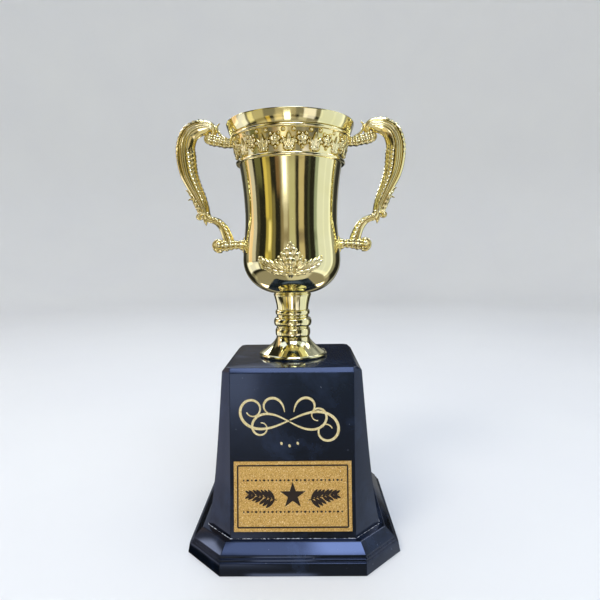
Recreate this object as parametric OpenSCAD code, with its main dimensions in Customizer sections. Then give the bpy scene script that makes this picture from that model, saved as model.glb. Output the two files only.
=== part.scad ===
// Two-handled presentation cup on a tapered, eight-sided pedestal.
// Origin: centre of the footprint, on the table. +Z is up and the plaque faces -Y.

/* [Plinth] */
// Half width of the plinth at the table, centre to flat side
plinth_half = 81; // [70:0.5:98]
// Half length of each flat side of the plinth
plinth_flat = 52; // [46:0.5:62]
// Height of the plinth's upright skirt
skirt_h = 8.6; // [6:0.2:14]
// Inward lean of the skirt over its height
skirt_draft = 1.6; // [0.4:0.1:3]
// Height of each of the two small steps above the skirt
step_h = 1.8; // [1:0.1:3]
// Depth of each small step
step_in = 1.5; // [0.8:0.1:2.5]
// Height of the sloping shoulder
shoulder_h = 6.7; // [4:0.1:12]
// Width of the bare ledge around the column
ledge_w = 3.8; // [0.5:0.1:6]
// Wall thickness of the plinth moulding
plinth_wall = 2.4; // [1.6:0.1:3.5]

/* [Column] */
// Height of the column, ledge to flat top
column_h = 123.3; // [100:0.5:150]
// Half width of the column under its top bevel
column_half = 52.6; // [50:0.2:64]
// Half length of each flat side of the column
column_flat = 46; // [40:0.5:49]
// Even widening of each side from top to bottom
column_taper = 10; // [6:0.2:14]
// Extra widening of each side near the bottom
column_flare = 3.4; // [2:0.2:9]
// Height of the bevel around the flat top
top_bevel_h = 3.1; // [1.5:0.1:6]
// Wall thickness of the column moulding
column_wall = 2.4; // [1.6:0.1:3.5]

/* [Plaque] */
// Width of the plaque
plaque_w = 87; // [50:1:90]
// Height of the plaque
plaque_h = 50; // [30:1:60]
// Height of the plaque's lower edge above the plinth
plaque_rise = 5.4; // [3:0.2:20]
// Thickness of the plaque
plaque_t = 0.8; // [0.4:0.1:2]
// Thickness of the adhesive sheet behind it
tape_t = 0.4; // [0.2:0.1:1]
// Distance from the plaque's edge to the adhesive's edge
tape_inset = 2; // [1:0.5:5]

/* [Foot and stem] */
// Radius of the foot's rim
foot_r = 28.2; // [24:0.2:36]
// Height of the foot's upright rim
foot_rim_h = 3.0; // [1.5:0.1:4]
// Height of the whole foot
foot_h = 15.9; // [12:0.1:24]
// Radius where the foot meets the stem
neck_r = 13.8; // [12:0.1:17]
// Height of the ringed knop
knop_h = 22.9; // [18:0.1:30]
// Radius of the knop's middle ring
knop_r = 15.8; // [14.5:0.1:20]
// Height of the collar under the bowl
collar_h = 13.2; // [9:0.1:20]
// Radius of the collar's lip
collar_r = 15.7; // [14.5:0.1:20]
// Wall thickness of the foot, knop and collar
stem_wall = 2.6; // [1.8:0.1:4]
// Height of the spigots that centre one stem piece on the next
spigot_h = 2; // [1:0.1:4]

/* [Bowl] */
// Height of the bowl, collar to lip
bowl_h = 135.8; // [112:0.5:166]
// Largest radius of the lower bulge
bulge_r = 40.1; // [34:0.1:49]
// Height of the bulge's widest place above the collar
bulge_h = 27.5; // [22:0.1:34]
// Radius of the waist
waist_r = 37.7; // [32:0.1:46]
// Height of the waist above the collar
waist_h = 60.4; // [50:0.1:70]
// Radius of the bowl under the ornament band
shoulder_r = 41.6; // [36:0.1:50]
// Radius of the lip
lip_r = 51.7; // [49.5:0.1:63]
// Wall thickness of the bowl
bowl_wall = 2; // [1.4:0.1:3]
// Thickness of the bowl's floor
floor_t = 3.3; // [2:0.1:5]

/* [Ornament band] */
// Height of the plain flare above the band
flare_h = 9.4; // [6:0.1:16]
// Height of the band with its two bead rings
band_h = 22.6; // [16:0.1:28]
// Thickness of the band at its lower edge
band_t = 1.7; // [1.2:0.1:3]
// Radius of the bead rings' section
bead_r = 1.7; // [1:0.1:2.4]

/* [Handles] */
// How far a handle stands out beyond the bulge
handle_reach = 53.8; // [44:0.2:66]
// Thickness of a handle, front to back
handle_t = 9.6; // [7:0.2:14]
// Height of the lower lug above the collar
lug_low_h = 40.3; // [34:0.1:48]
// Distance of the upper lug below the lip
lug_high_drop = 13.2; // [11:0.1:18]
// Radius of the lugs
lug_r = 3.6; // [3:0.1:5]
// Radius of the round flange where the lower lug meets the bowl
flange_r = 6.8; // [5:0.1:9]

/* [Sprays] */
// Half width of the leaf spray on the bowl
spray_half = 26; // [16:0.5:30]
// Height of the leaf spray
spray_h = 28; // [20:0.5:34]
// Height of the spray's lower edge above the collar
spray_rise = 14.2; // [10:0.2:20]
// How far the spray stands out of the bowl
spray_t = 2.2; // [1:0.1:3]

/* [Tie rod and fasteners] */
// Diameter of the tie rod
rod_d = 6; // [4:0.5:8]
// Width across the flats of the nuts
nut_af = 10; // [8:0.5:14]
// Height of the nuts
nut_h = 5; // [3:0.1:7]
// Diameter of the washers
washer_d = 18; // [14:0.5:22]
// Thickness of the washers
washer_t = 1.6; // [1:0.1:2.5]
// Diameter of the screws that hold the handles and the base board
screw_d = 3; // [2:0.1:4]
// Length of the screws under the head
screw_len = 12; // [9:0.5:14]

/* [Base] */
// Width of the square steel ballast plate
ballast_w = 100; // [70:1:104]
// Thickness of the ballast plate
ballast_t = 5; // [3:0.1:5.5]
// Thickness of the base board
board_t = 2.8; // [1.5:0.1:3]
// Thickness of the felt
felt_t = 1; // [0.5:0.1:1.2]
// Distance of the felt's edge inside the board's edge
felt_inset = 3; // [1:0.5:10]

/* [Fits] */
// Gap around the tie rod in each hole that it passes through
rod_gap = 0.3; // [0.1:0.05:0.6]
// Gap all round a piece that drops into or over another
fit_gap = 0.2; // [0.1:0.05:0.5]
// Gap between a screw or nut thread and what it turns in
thread_gap = 0.05; // [0.02:0.01:0.1]

/* [Hidden] */
$fn = 96;

gloss_black = "#14161F";
pale_gold = "#E3D48A";
plaque_gold = "#D8B565";
steel = "#A9ADB2";
felt_green = "#1D4B33";
board_brown = "#4A3A2B";
cut = 1;                 // overrun of every cutting solid
column_curve = 4.5;      // how sharply the extra flare sets in towards the bottom
foot_curve = 1.6;        // how sharply the foot spreads towards its rim
collar_curve = 1.4;      // how sharply the collar opens towards the bowl
arc_steps = 14;          // segments along each curved stretch of an outline
column_steps = 24;       // segments up the column
top_corner = 3.0;        // what is left of the cut corners at the flat top
deck_lip_h = 3;          // height of the low lip on the plinth's deck
boss_wall = 2.3;         // plastic around each base board screw
rim_edge = 0.7;          // rounding of the cup foot's rim
groove_depth = 0.6;      // depth of the grooves between the stem's rings
collar_lip = 1.7;        // height of the stem collar's upright lip
flare_out = 3.3;         // how far the lip stands out beyond the flare's lower edge
band_step = 3.1;         // how far the flare's lower edge stands out beyond the wall behind the band
bead_set = 1.3;          // how far the band's face lies inside the flare's lower edge
bead_tuck = 0.2;         // how far the upper bead sits back from the band's face
flange_rise = 1.4;       // how far the handle's lower flange stands off the bulge
ring_sides = 12;         // sides of the handle's cross-section
span_steps = 3;          // rings along each span of the handle's middle line
leaf_count = 9;          // leaf tips round a spray

// Levels, from the table up
skirt_top = skirt_h;
shoulder_z = skirt_top + 2 * step_h;
plinth_h = shoulder_z + shoulder_h;
deck_under = plinth_h - plinth_wall;
column_top = plinth_h + column_h;
bevel_z = column_top - top_bevel_h;
knop_z = column_top + foot_h;
collar_z = knop_z + knop_h;
bowl_z = collar_z + collar_h;
floor_z = bowl_z + floor_t;
lip_z = bowl_z + bowl_h;
band_top = lip_z - flare_h;
band_z = band_top - band_h;
lug_low_z = bowl_z + lug_low_h;
lug_high_z = lip_z - lug_high_drop;
board_z = felt_t;
board_top = board_z + board_t;

// Half width of the column's flat sides at height z
function column_share(z) = max(0, (bevel_z - z) / (bevel_z - plinth_h));
function column_side(z) = column_half + column_taper * column_share(z)
  + column_flare * pow(column_share(z), column_curve);
column_foot = column_side(plinth_h);
// The column's outline runs straight between evenly spaced levels
level_gap = (bevel_z - plinth_h) / column_steps;
function level(i) = plinth_h + i * level_gap;
function moulded_side(z) = let (i = floor((z - plinth_h) / level_gap))
  mixed(column_side(level(i)), column_side(level(i + 1)), (z - level(i)) / level_gap);
function mixed(a, b, t) = a + (b - a) * t;

// Widths of the plinth's shoulder, which ends a ledge's width outside the column
shoulder_half = plinth_half - skirt_draft - 2 * step_in;
deck_half = column_foot + ledge_w;
deck_flat = column_flat + (plinth_flat - column_flat) / 2;

// Outlines of the eight-sided mouldings: [height, half width, half length of a flat side]
plinth_outline = [
  [0, plinth_half, plinth_flat],
  [skirt_top, plinth_half - skirt_draft, plinth_flat],
  [skirt_top, plinth_half - skirt_draft - step_in, plinth_flat],
  [skirt_top + step_h, plinth_half - skirt_draft - step_in, plinth_flat],
  [skirt_top + step_h, shoulder_half, plinth_flat],
  [shoulder_z, shoulder_half, plinth_flat],
  [plinth_h, deck_half, deck_flat]];
column_outline = concat(
  [for (i = [0:column_steps]) [level(i), column_side(level(i)), column_flat]],
  [[column_top, column_flat + top_corner, column_flat]]);

// Four slabs at 45 degrees to each other, cut to one outline, leave a square with cut corners
module slab(sides, heights) {
  last = len(sides) - 1;
  rotate([90, 0, 0])
    linear_extrude(height = 4 * max(sides), center = true)
      polygon(concat([for (i = [0:last]) [sides[i], heights[i]]],
        [for (i = [last:-1:0]) [-sides[i], heights[i]]]));
}
module eight_sided(outline, inset = 0) {
  heights = [for (p = outline) p[0]];
  intersection_for (k = [0:3])
    rotate([0, 0, 45 * k])
      slab([for (p = outline) (k % 2 == 0 ? p[1] : (p[1] + p[2]) / sqrt(2)) - inset], heights);
}
// The stretch of an outline below a given height, its upper end cut there
function below(outline, z) = concat([for (p = outline) if (p[0] < z) p],
  [let (i = [for (k = [0:len(outline) - 2]) if (outline[k][0] < z && outline[k + 1][0] >= z) k][0],
    a = outline[i], b = outline[i + 1], t = (z - a[0]) / (b[0] - a[0])) [z, a[1] + t * (b[1] - a[1]),
    a[2] + t * (b[2] - a[2])]]);

module hole(radius, z_low, z_high) {
  translate([0, 0, z_low - cut])
    cylinder(r = radius, h = z_high - z_low + 2 * cut);
}
module at_bosses() {
  for (turn = [45:90:315])
    rotate([0, 0, turn])
      translate([boss_at, 0, 0])
        children();
}

// Base board, its screws and the bosses that take them
boss_r = screw_d / 2 + boss_wall;
boss_at = (deck_half + deck_flat) / sqrt(2) - plinth_wall - boss_r;
screw_head_r = screw_d;
board_half = plinth_half - plinth_wall - skirt_draft - fit_gap;
board_flat = plinth_flat - plinth_wall / 2;

module felt_pad() {
  color(felt_green)
    eight_sided([[0, board_half - felt_inset, board_flat - felt_inset],
      [felt_t, board_half - felt_inset, board_flat - felt_inset]]);
}
module base_board() {
  color(board_brown)
    difference() {
      eight_sided([[board_z, board_half, board_flat], [board_top, board_half, board_flat]]);
      at_bosses() {
        hole(screw_d / 2 + fit_gap, board_z, board_top);
        translate([0, 0, board_z - thread_gap])
          cylinder(r1 = screw_head_r + thread_gap, r2 = screw_d / 2 + thread_gap, h = screw_d / 2);
      }
    }
}
module base_board_screws() {
  color(steel)
    at_bosses() {
      translate([0, 0, board_z])
        cylinder(r1 = screw_head_r, r2 = screw_d / 2, h = screw_d / 2);
      translate([0, 0, board_z])
        cylinder(d = screw_d, h = screw_len);
    }
}
module ballast_plate() {
  color(steel)
    difference() {
      translate([-ballast_w / 2, -ballast_w / 2, deck_under - ballast_t])
        cube([ballast_w, ballast_w, ballast_t]);
      hole(rod_d / 2 + rod_gap, deck_under - ballast_t, deck_under);
    }
}

// The plinth is a tray with its open side down; a low lip on its deck centres the column
module plinth() {
  lip_side = column_side(plinth_h + deck_lip_h);
  lip_from = deck_under + plinth_wall / 2;
  lip_to = plinth_h + deck_lip_h;
  lip_gap = column_wall + fit_gap;
  inside = concat([[-cut, plinth_half, plinth_flat]], below(plinth_outline, shoulder_z),
    [[deck_under, deck_half + plinth_wall, deck_flat]]);
  color(gloss_black)
    difference() {
      union() {
        difference() {
          eight_sided(plinth_outline);
          eight_sided(inside, plinth_wall);
        }
        at_bosses()
          translate([0, 0, board_top])
            cylinder(r = boss_r, h = lip_from - board_top);
        difference() {
          eight_sided([[lip_from, lip_side, column_flat], [lip_to, lip_side, column_flat]], lip_gap);
          eight_sided([[plinth_h, lip_side, column_flat], [lip_to + cut, lip_side, column_flat]],
            lip_gap + column_wall);
        }
      }
      hole(rod_d / 2 + rod_gap, deck_under, plinth_h);
      at_bosses()
        translate([0, 0, board_top - cut])
          cylinder(r = screw_d / 2 + thread_gap, h = board_z + screw_len - board_top + 2 * cut);
    }
}

// The column is a hollow moulding with a closed top, open below
module pedestal_column() {
  roof = bevel_z - column_wall / 2;
  color(gloss_black)
    difference() {
      eight_sided(column_outline);
      eight_sided(concat([[plinth_h - cut, column_foot, column_flat]], below(column_outline, roof)),
        column_wall);
      hole(rod_d / 2 + rod_gap, roof, column_top);
    }
}

// A sheet that follows the front of the column
module front_sheet(width, z_low, z_high, gap, thickness) {
  between = [for (i = [1:column_steps - 1]) if (level(i) > z_low && level(i) < z_high) level(i)];
  zs = concat([z_low], between, [z_high]);
  translate([-width / 2, 0, 0])
    rotate([90, 0, 90])
      linear_extrude(height = width)
        polygon(concat([for (z = zs) [-moulded_side(z) - gap - thickness, z]],
          [for (i = [len(zs) - 1:-1:0]) [-moulded_side(zs[i]) - gap, zs[i]]]));
}
plaque_z = plinth_h + plaque_rise;
module plaque_adhesive() {
  color("white")
    front_sheet(plaque_w - 2 * tape_inset, plaque_z + tape_inset, plaque_z + plaque_h - tape_inset,
      0, tape_t);
}
module plaque() {
  color(plaque_gold)
    front_sheet(plaque_w, plaque_z, plaque_z + plaque_h, tape_t, plaque_t);
}

// Tie rod: it pulls the bowl, stem, column, plinth and ballast together between two nuts
lower_washer_z = deck_under - ballast_t - washer_t;
upper_nut_z = floor_z + washer_t;
rod_over = 1.8;
module ring(outer, inner, z, height) {
  translate([0, 0, z])
    difference() {
      cylinder(r = outer, h = height);
      translate([0, 0, -cut])
        cylinder(r = inner, h = height + 2 * cut);
    }
}
module hex_nut(z) {
  translate([0, 0, z])
    difference() {
      cylinder(r = nut_af / sqrt(3), h = nut_h, $fn = 6);
      translate([0, 0, -cut])
        cylinder(r = rod_d / 2 + thread_gap, h = nut_h + 2 * cut);
    }
}
module tie_rod() {
  rod_z = lower_washer_z - nut_h;
  color(steel)
    translate([0, 0, rod_z])
      cylinder(d = rod_d, h = upper_nut_z + nut_h + rod_over - rod_z);
}
module lower_washer() {
  color(steel) ring(washer_d / 2, rod_d / 2 + rod_gap, lower_washer_z, washer_t);
}
module lower_nut() {
  color(steel) hex_nut(lower_washer_z - nut_h);
}
module upper_washer() {
  color(steel) ring(washer_d / 2, rod_d / 2 + rod_gap, floor_z, washer_t);
}
module upper_nut() {
  color(steel) hex_nut(upper_nut_z);
}

// Turned outlines are lists of [radius, height]
// A smooth S-shaped run from one turned point to the next
function eased(a, b) = [for (i = [1:arc_steps])
  let (t = i / arc_steps) [mixed(a[0], b[0], (1 - cos(180 * t)) / 2), mixed(a[1], b[1], t)]];
function turned(points) = concat([points[0]],
  [for (k = [1:len(points) - 1]) each eased(points[k - 1], points[k])]);

// Foot, knop and collar are hollow turned shells; each has a web for the rod at its top
web_t = 3;
spigot_r = neck_r - 2 * stem_wall;
module stem_piece(outline, z_low, z_high, hollow_r) {
  color(pale_gold)
    difference() {
      union() {
        rotate_extrude()
          polygon(concat([[0, z_low]], outline, [[0, z_high]]));
        translate([0, 0, z_high - cut])
          cylinder(r = spigot_r, h = spigot_h + cut);
      }
      translate([0, 0, z_low - cut])
        cylinder(r = hollow_r, h = z_high - web_t - z_low + cut);
      hole(rod_d / 2 + rod_gap, z_low, z_high + spigot_h);
    }
}
module cup_foot() {
  rim_top = column_top + foot_rim_h;
  spread = [for (i = [0:arc_steps])
    let (t = 1 - i / arc_steps) [neck_r + (foot_r - rim_edge - neck_r) * pow(t, foot_curve),
      mixed(knop_z, rim_top, t)]];
  stem_piece(concat([[foot_r, column_top], [foot_r, rim_top - rim_edge]], spread), column_top, knop_z,
    spigot_r + fit_gap);
}
module stem_knop() {
  ring_r = mixed(neck_r, knop_r, 0.3);
  groove_r = neck_r - groove_depth;
  outline = turned([[neck_r, knop_z], [ring_r, knop_z + 0.17 * knop_h],
    [groove_r, knop_z + 0.34 * knop_h], [knop_r, knop_z + 0.545 * knop_h], [groove_r, knop_z + 0.755 * knop_h],
    [ring_r, knop_z + 0.9 * knop_h], [groove_r, collar_z]]);
  stem_piece(outline, knop_z, collar_z, spigot_r + fit_gap);
}
module stem_collar() {
  rise = [for (i = [0:arc_steps])
    let (t = i / arc_steps) [mixed(neck_r - groove_depth, collar_r, pow(t, collar_curve)),
      mixed(collar_z, bowl_z - collar_lip, t)]];
  stem_piece(concat(rise, [[collar_r, bowl_z]]), collar_z, bowl_z, spigot_r + fit_gap);
}

// Bowl: an elliptic bulge, a waist, and a flare that steps out over the band to the lip
bulge_z = bowl_z + bulge_h;
waist_z = bowl_z + waist_h;
bulge_core = 10;         // radius at which the bulge's ellipse has its centre
seat_edge = 0.4;         // height of the edge around the bowl's flat seat
flare_r = lip_r - flare_out;
under_band_r = flare_r - band_step;
function ellipse_r(z, inset) = bulge_core + (bulge_r - bulge_core - inset)
  * sqrt(max(0, 1 - pow((bulge_z - z) / (bulge_h - inset), 2)));
function bowl_r(z) =
  z < bulge_z ? ellipse_r(z, 0)
  : z < waist_z ? mixed(bulge_r, waist_r, (1 - cos(180 * (z - bulge_z) / (waist_z - bulge_z))) / 2)
  : z < band_z ? mixed(waist_r, shoulder_r, pow((z - waist_z) / (band_z - waist_z), 2))
  : z < band_top ? mixed(shoulder_r, under_band_r, (z - band_z) / band_h)
  : mixed(flare_r, lip_r, (z - band_top) / flare_h);
function heights(a, b, n) = [for (i = [0:n]) a + i * (b - a) / n];
// Heights that crowd together towards the bottom, where the bulge turns in quickly
function bulge_heights(base) = [for (i = [0:arc_steps])
  bulge_z - (bulge_z - base) * cos(90 * i / arc_steps)];

module bowl_outside(gap = 0) {
  rotate_extrude()
    polygon(concat([[0, bowl_z - gap], [bowl_r(bowl_z + seat_edge) + gap, bowl_z - gap]],
      [for (z = bulge_heights(bowl_z + seat_edge)) [bowl_r(z) + gap, z]],
      [for (z = heights(bulge_z + 2, waist_z, arc_steps)) [bowl_r(z) + gap, z]],
      [for (z = heights(waist_z + 2, band_z, arc_steps)) [bowl_r(z) + gap, z]],
      [[under_band_r + gap, band_top], [flare_r + gap, band_top], [lip_r + gap, lip_z], [0, lip_z]]));
}
module bowl_inside() {
  in_r = flare_r - bowl_wall / 2;
  lip_t = 0.6 * bowl_wall;
  rotate_extrude()
    polygon(concat([[0, floor_z]],
      [for (z = bulge_heights(floor_z)) [ellipse_r(z, bowl_wall), z]],
      [for (z = heights(bulge_z + 2, waist_z, arc_steps)) [bowl_r(z) - bowl_wall, z]],
      [for (z = heights(waist_z + 2, band_z, arc_steps)) [bowl_r(z) - bowl_wall, z]],
      [[under_band_r - bowl_wall, band_top + bowl_wall / 2], [in_r, band_top + 2 * bowl_wall],
        [lip_r - lip_t, lip_z], [lip_r - lip_t, lip_z + cut], [0, lip_z + cut]]));
}
module bowl() {
  color(pale_gold)
    difference() {
      bowl_outside();
      bowl_inside();
      translate([0, 0, bowl_z - cut])
        cylinder(r = spigot_r + fit_gap, h = spigot_h + fit_gap + cut);
      hole(rod_d / 2 + rod_gap, bowl_z, floor_z);
      at_lugs() screw_hole(screw_d / 2 + fit_gap);
    }
}

// Ornament band: a cast ring that slides up the bowl against the flare, with a bead at each edge
band_low_r = bowl_r(band_z) + band_t;
band_high_r = flare_r - bead_set;
module ornament_band() {
  color(pale_gold)
    difference() {
      rotate_extrude()
        union() {
          polygon([[bowl_r(band_z) - cut, band_z], [band_low_r, band_z],
            [band_low_r + 0.4 * bead_r, band_z + 2 * bead_r], [band_high_r, band_top - bead_r],
            [band_high_r, band_top], [under_band_r - cut, band_top]]);
          translate([band_low_r, band_z + bead_r])
            circle(r = bead_r, $fn = 24);
          translate([band_high_r - bead_tuck, band_top - bead_r])
            circle(r = bead_r, $fn = 24);
        }
      rotate_extrude()
        polygon([[0, band_z - cut], [bowl_r(band_z) + thread_gap, band_z - cut],
          [bowl_r(band_z) + thread_gap, band_z], [under_band_r + thread_gap, band_top],
          [under_band_r + thread_gap, band_top + cut], [0, band_top + cut]]);
      at_lugs() screw_hole(screw_d / 2 + fit_gap);
    }
}

// Sprays: a fan of leaves in relief, moulded to the bulge. The outline is a wave of leaf tips.
function spray_edge(angle) = let (wave = 0.86 + 0.14 * cos(leaf_count * (angle - 90) * 2))
  [spray_half * cos(angle) * wave, (angle > 0 ? 0.66 : 0.34) * spray_h * sin(angle) * wave];
module spray(side) {
  centre_z = bowl_z + spray_rise + 0.34 * spray_h;
  color(pale_gold)
    intersection() {
      difference() {
        bowl_outside(spray_t);
        bowl_outside(thread_gap);
      }
      rotate([90, 0, side > 0 ? 180 : 0])
        translate([0, centre_z, 0])
          linear_extrude(height = bulge_r + 2 * spray_t)
            polygon([for (angle = [-177:6:177]) spray_edge(angle)]);
    }
}
module front_spray() { spray(-1); }
module rear_spray() { spray(1); }

// Handle: one swept scroll with two lugs and round knots. Its middle line is drawn for a reach
// of 53.8 and a rise of 82.3 between the lugs: [out from the bulge, up from the lower lug, half width]
drawn_reach = 53.8;
drawn_rise = 82.3;
scroll = [[22.5, 93.7, 3.2], [28, 95.5, 6], [35.5, 94.7, 7.2], [42.6, 89.6, 7.8], [45.9, 79.5, 7.9],
  [45.6, 68.5, 7.9], [43.7, 58, 7], [39.9, 48.5, 6], [35.4, 39, 5], [31.7, 31, 4.3], [29.2, 24.8, 3.6],
  [24.4, 21.1, 3], [19.4, 17.8, 3.3], [15.4, 13.3, 3.8], [12.9, 8, 4.2], [11.6, 1.5, 4.2]];
knots = [[25.9, 86, 5], [35.8, 23.5, 3.4], [20, 0.5, 5.3]];
out_scale = handle_reach / drawn_reach;
up_scale = (lug_high_z - lug_low_z) / drawn_rise;
// Widths grow with the larger of the two, so that the knots still meet the scroll
function placed(p) = [bulge_r + p[0] * out_scale, lug_low_z + p[1] * up_scale,
  p[2] * max(out_scale, up_scale)];
function scroll_at(k) = placed(scroll[min(max(k, 0), len(scroll) - 1)]);
// A smooth curve from the second of four points to the third
function curve(a, b, c, d, t) = 0.5 * (2 * b + (c - a) * t + (2 * a - 5 * b + 4 * c - d) * t * t
  + (3 * b - a - 3 * c + d) * t * t * t);
scroll_line = [for (k = [0:len(scroll) - 2]) for (s = [0:span_steps - (k == len(scroll) - 2 ? 0 : 1)])
  curve(scroll_at(k - 1), scroll_at(k), scroll_at(k + 1), scroll_at(k + 2), s / span_steps)];

module scroll_sweep() {
  last = len(scroll_line) - 1;
  rings = [for (k = [0:last])
    let (here = scroll_line[k], ahead = scroll_line[min(k + 1, last)],
      behind = scroll_line[max(k - 1, 0)], run = [ahead[0] - behind[0], ahead[1] - behind[1]],
      side = [-run[1], run[0]] / norm(run))
    for (j = [0:ring_sides - 1])
      let (turn = 360 * j / ring_sides)
        [here[0] + side[0] * here[2] * cos(turn), handle_t / 2 * sin(turn),
          here[1] + side[1] * here[2] * cos(turn)]];
  walls = [for (k = [0:last - 1]) for (j = [0:ring_sides - 1])
    let (a = k * ring_sides + j, b = k * ring_sides + (j + 1) % ring_sides) each
      [[a, b, b + ring_sides], [a, b + ring_sides, a + ring_sides]]];
  ends = [[for (j = [ring_sides - 1:-1:0]) j], [for (j = [0:ring_sides - 1]) last * ring_sides + j]];
  polyhedron(points = rings, faces = concat(walls, ends), convexity = 8);
}
// Puts a piece that points along +X at the upper and lower lug of both handles
module at_lugs() {
  for (turn = [0, 180])
    rotate([0, 0, turn])
      for (z = [lug_low_z, lug_high_z])
        translate([0, 0, z])
          children();
}
module screw_hole(radius) {
  rotate([0, 90, 0])
    cylinder(r = radius, h = lip_r);
}
// Where a screw head seats on the curved wall inside the bowl
function seat_x(z) = let (r = min(bowl_r(z - screw_head_r), bowl_r(z + screw_head_r)) - bowl_wall)
  sqrt(r * r - screw_head_r * screw_head_r) - thread_gap;

module handle(turn) {
  color(pale_gold)
    rotate([0, 0, turn])
      difference() {
        union() {
          scroll_sweep();
          for (k = knots)
            translate([placed(k)[0], 0, placed(k)[1]])
              sphere(r = placed(k)[2], $fn = 32);
          translate([waist_r, 0, lug_low_z])
            rotate([0, 90, 0])
              cylinder(r = lug_r, h = placed(knots[2])[0] - waist_r);
          translate([waist_r - flange_r / 4, 0, lug_low_z])
            rotate([0, 90, 0])
              cylinder(r = flange_r, h = bulge_r + flange_rise - waist_r + flange_r / 4);
          translate([flare_r - 4, 0, lug_high_z])
            rotate([0, 90, 0])
              cylinder(r = lug_r, h = placed(knots[0])[0] - flare_r + 4);
        }
        bowl_outside(thread_gap);
        band_outside();
        for (z = [lug_low_z, lug_high_z])
          translate([0, 0, z])
            rotate([0, 90, 0])
              cylinder(r = screw_d / 2 + thread_gap, h = seat_x(z) + screw_len + cut);
      }
}
// The space that the band and its beads take up, which the upper lug is cut back to
module band_outside() {
  rotate_extrude()
    polygon([[0, band_z], [band_low_r + bead_r + thread_gap, band_z],
      [band_high_r - bead_tuck + bead_r + thread_gap, band_top - 2 * bead_r],
      [band_high_r - bead_tuck + bead_r + thread_gap, band_top], [0, band_top]]);
}
module handle_left() { handle(180); }
module handle_right() { handle(0); }
module handle_screws() {
  color(steel)
    for (turn = [0, 180])
      rotate([0, 0, turn])
        for (z = [lug_low_z, lug_high_z])
          translate([seat_x(z), 0, z])
            rotate([0, 90, 0]) {
              cylinder(d = screw_d, h = screw_len);
              translate([0, 0, -screw_d * 0.7])
                cylinder(r = screw_head_r, h = screw_d * 0.7);
            }
}

felt_pad();
base_board();
base_board_screws();
ballast_plate();
plinth();
pedestal_column();
plaque_adhesive();
plaque();
lower_nut();
lower_washer();
tie_rod();
upper_washer();
upper_nut();
cup_foot();
stem_knop();
stem_collar();
bowl();
ornament_band();
front_spray();
rear_spray();
handle_left();
handle_right();
handle_screws();
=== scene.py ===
# %% [markdown]
# # A two-handled prize cup on a tapered pedestal
# The cup is plastic plated to look like pale gold, on a moulded black pedestal with a gold plaque.
# The frame that is loaded here holds every solid piece at its real size and place. This lesson
# builds the visible skin of each one as a surface computed with numpy, gives it a finish, and
# lights it on a pale studio floor. All lengths in the cells are in millimetres.

# %% Load the frame
import math

import bmesh
import bpy
import numpy as np
from mathutils import Matrix, Vector


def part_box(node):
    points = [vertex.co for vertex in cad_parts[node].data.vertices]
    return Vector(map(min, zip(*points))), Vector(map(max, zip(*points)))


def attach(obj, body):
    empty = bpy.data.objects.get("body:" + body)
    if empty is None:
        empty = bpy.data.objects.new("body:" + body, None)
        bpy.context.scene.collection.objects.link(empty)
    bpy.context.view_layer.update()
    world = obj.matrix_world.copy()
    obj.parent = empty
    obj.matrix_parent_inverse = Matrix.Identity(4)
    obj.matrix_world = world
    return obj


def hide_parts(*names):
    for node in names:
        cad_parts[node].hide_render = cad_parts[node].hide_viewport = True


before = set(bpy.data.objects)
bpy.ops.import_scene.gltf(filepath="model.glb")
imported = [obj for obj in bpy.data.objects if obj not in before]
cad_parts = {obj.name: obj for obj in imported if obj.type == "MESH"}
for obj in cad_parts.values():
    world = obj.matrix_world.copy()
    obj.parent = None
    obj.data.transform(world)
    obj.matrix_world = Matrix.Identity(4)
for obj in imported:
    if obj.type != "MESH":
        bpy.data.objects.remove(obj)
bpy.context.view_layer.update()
MM = 0.001

# %% [markdown]
# ## Reading sizes from the frame
# Levels and radii come from the boxes of the solid pieces, so the skins always fit them. A few
# sizes that a box can't tell, such as the bowl's waist, are named here.

# %% Levels and radii
def span(node, axis):
    """Lowest and highest coordinate of a solid piece along one axis (0, 1, 2), in millimetres."""
    low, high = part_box(node)
    return low[axis] / MM, high[axis] / MM


PLINTH_HALF = span("plinth", 0)[1]
LEDGE_Z, COLUMN_TOP = span("pedestal_column", 2)
COLUMN_FOOT = span("pedestal_column", 0)[1]
FOOT_R = span("cup_foot", 0)[1]
KNOP_Z = span("stem_knop", 2)[0]
KNOP_R = span("stem_knop", 0)[1]
COLLAR_Z = span("stem_collar", 2)[0]
COLLAR_R = span("stem_collar", 0)[1]
BOWL_Z, LIP_Z = span("bowl", 2)
LIP_R = span("bowl", 0)[1]
BAND_Z, BAND_TOP = span("ornament_band", 2)
PLAQUE_Z, PLAQUE_TOP = span("plaque", 2)
PLAQUE_HALF = span("plaque", 0)[1]

COLUMN_HALF, COLUMN_FLAT, COLUMN_TAPER, COLUMN_CURVE = 52.6, 46.0, 10.0, 4.5
BEVEL_H, TOP_CORNER = 3.1, 3.0
BEVEL_Z = COLUMN_TOP - BEVEL_H
NECK_R = 13.8
BULGE_R, BULGE_Z, BULGE_CORE = 40.1, BOWL_Z + 27.5, 10.0
WAIST_R, WAIST_Z, SHOULDER_R = 37.7, BOWL_Z + 60.4, 41.6
BOWL_WALL, FLOOR_T = 2.0, 3.3
FLARE_R, UNDER_BAND_R = LIP_R - 3.3, LIP_R - 6.4
ROD_HOLE = 3.3
print("levels", [round(z, 1) for z in (LEDGE_Z, COLUMN_TOP, KNOP_Z, COLLAR_Z, BOWL_Z, BAND_Z, LIP_Z)])

# %% [markdown]
# ## From arrays to meshes
# Every piece below is one or more grids of points. A closed direction repeats its first line of
# points at its end, and a pole is a line of points that all lie on one spot. Merging doubles
# closes both, and then the normals are turned outwards.

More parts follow.
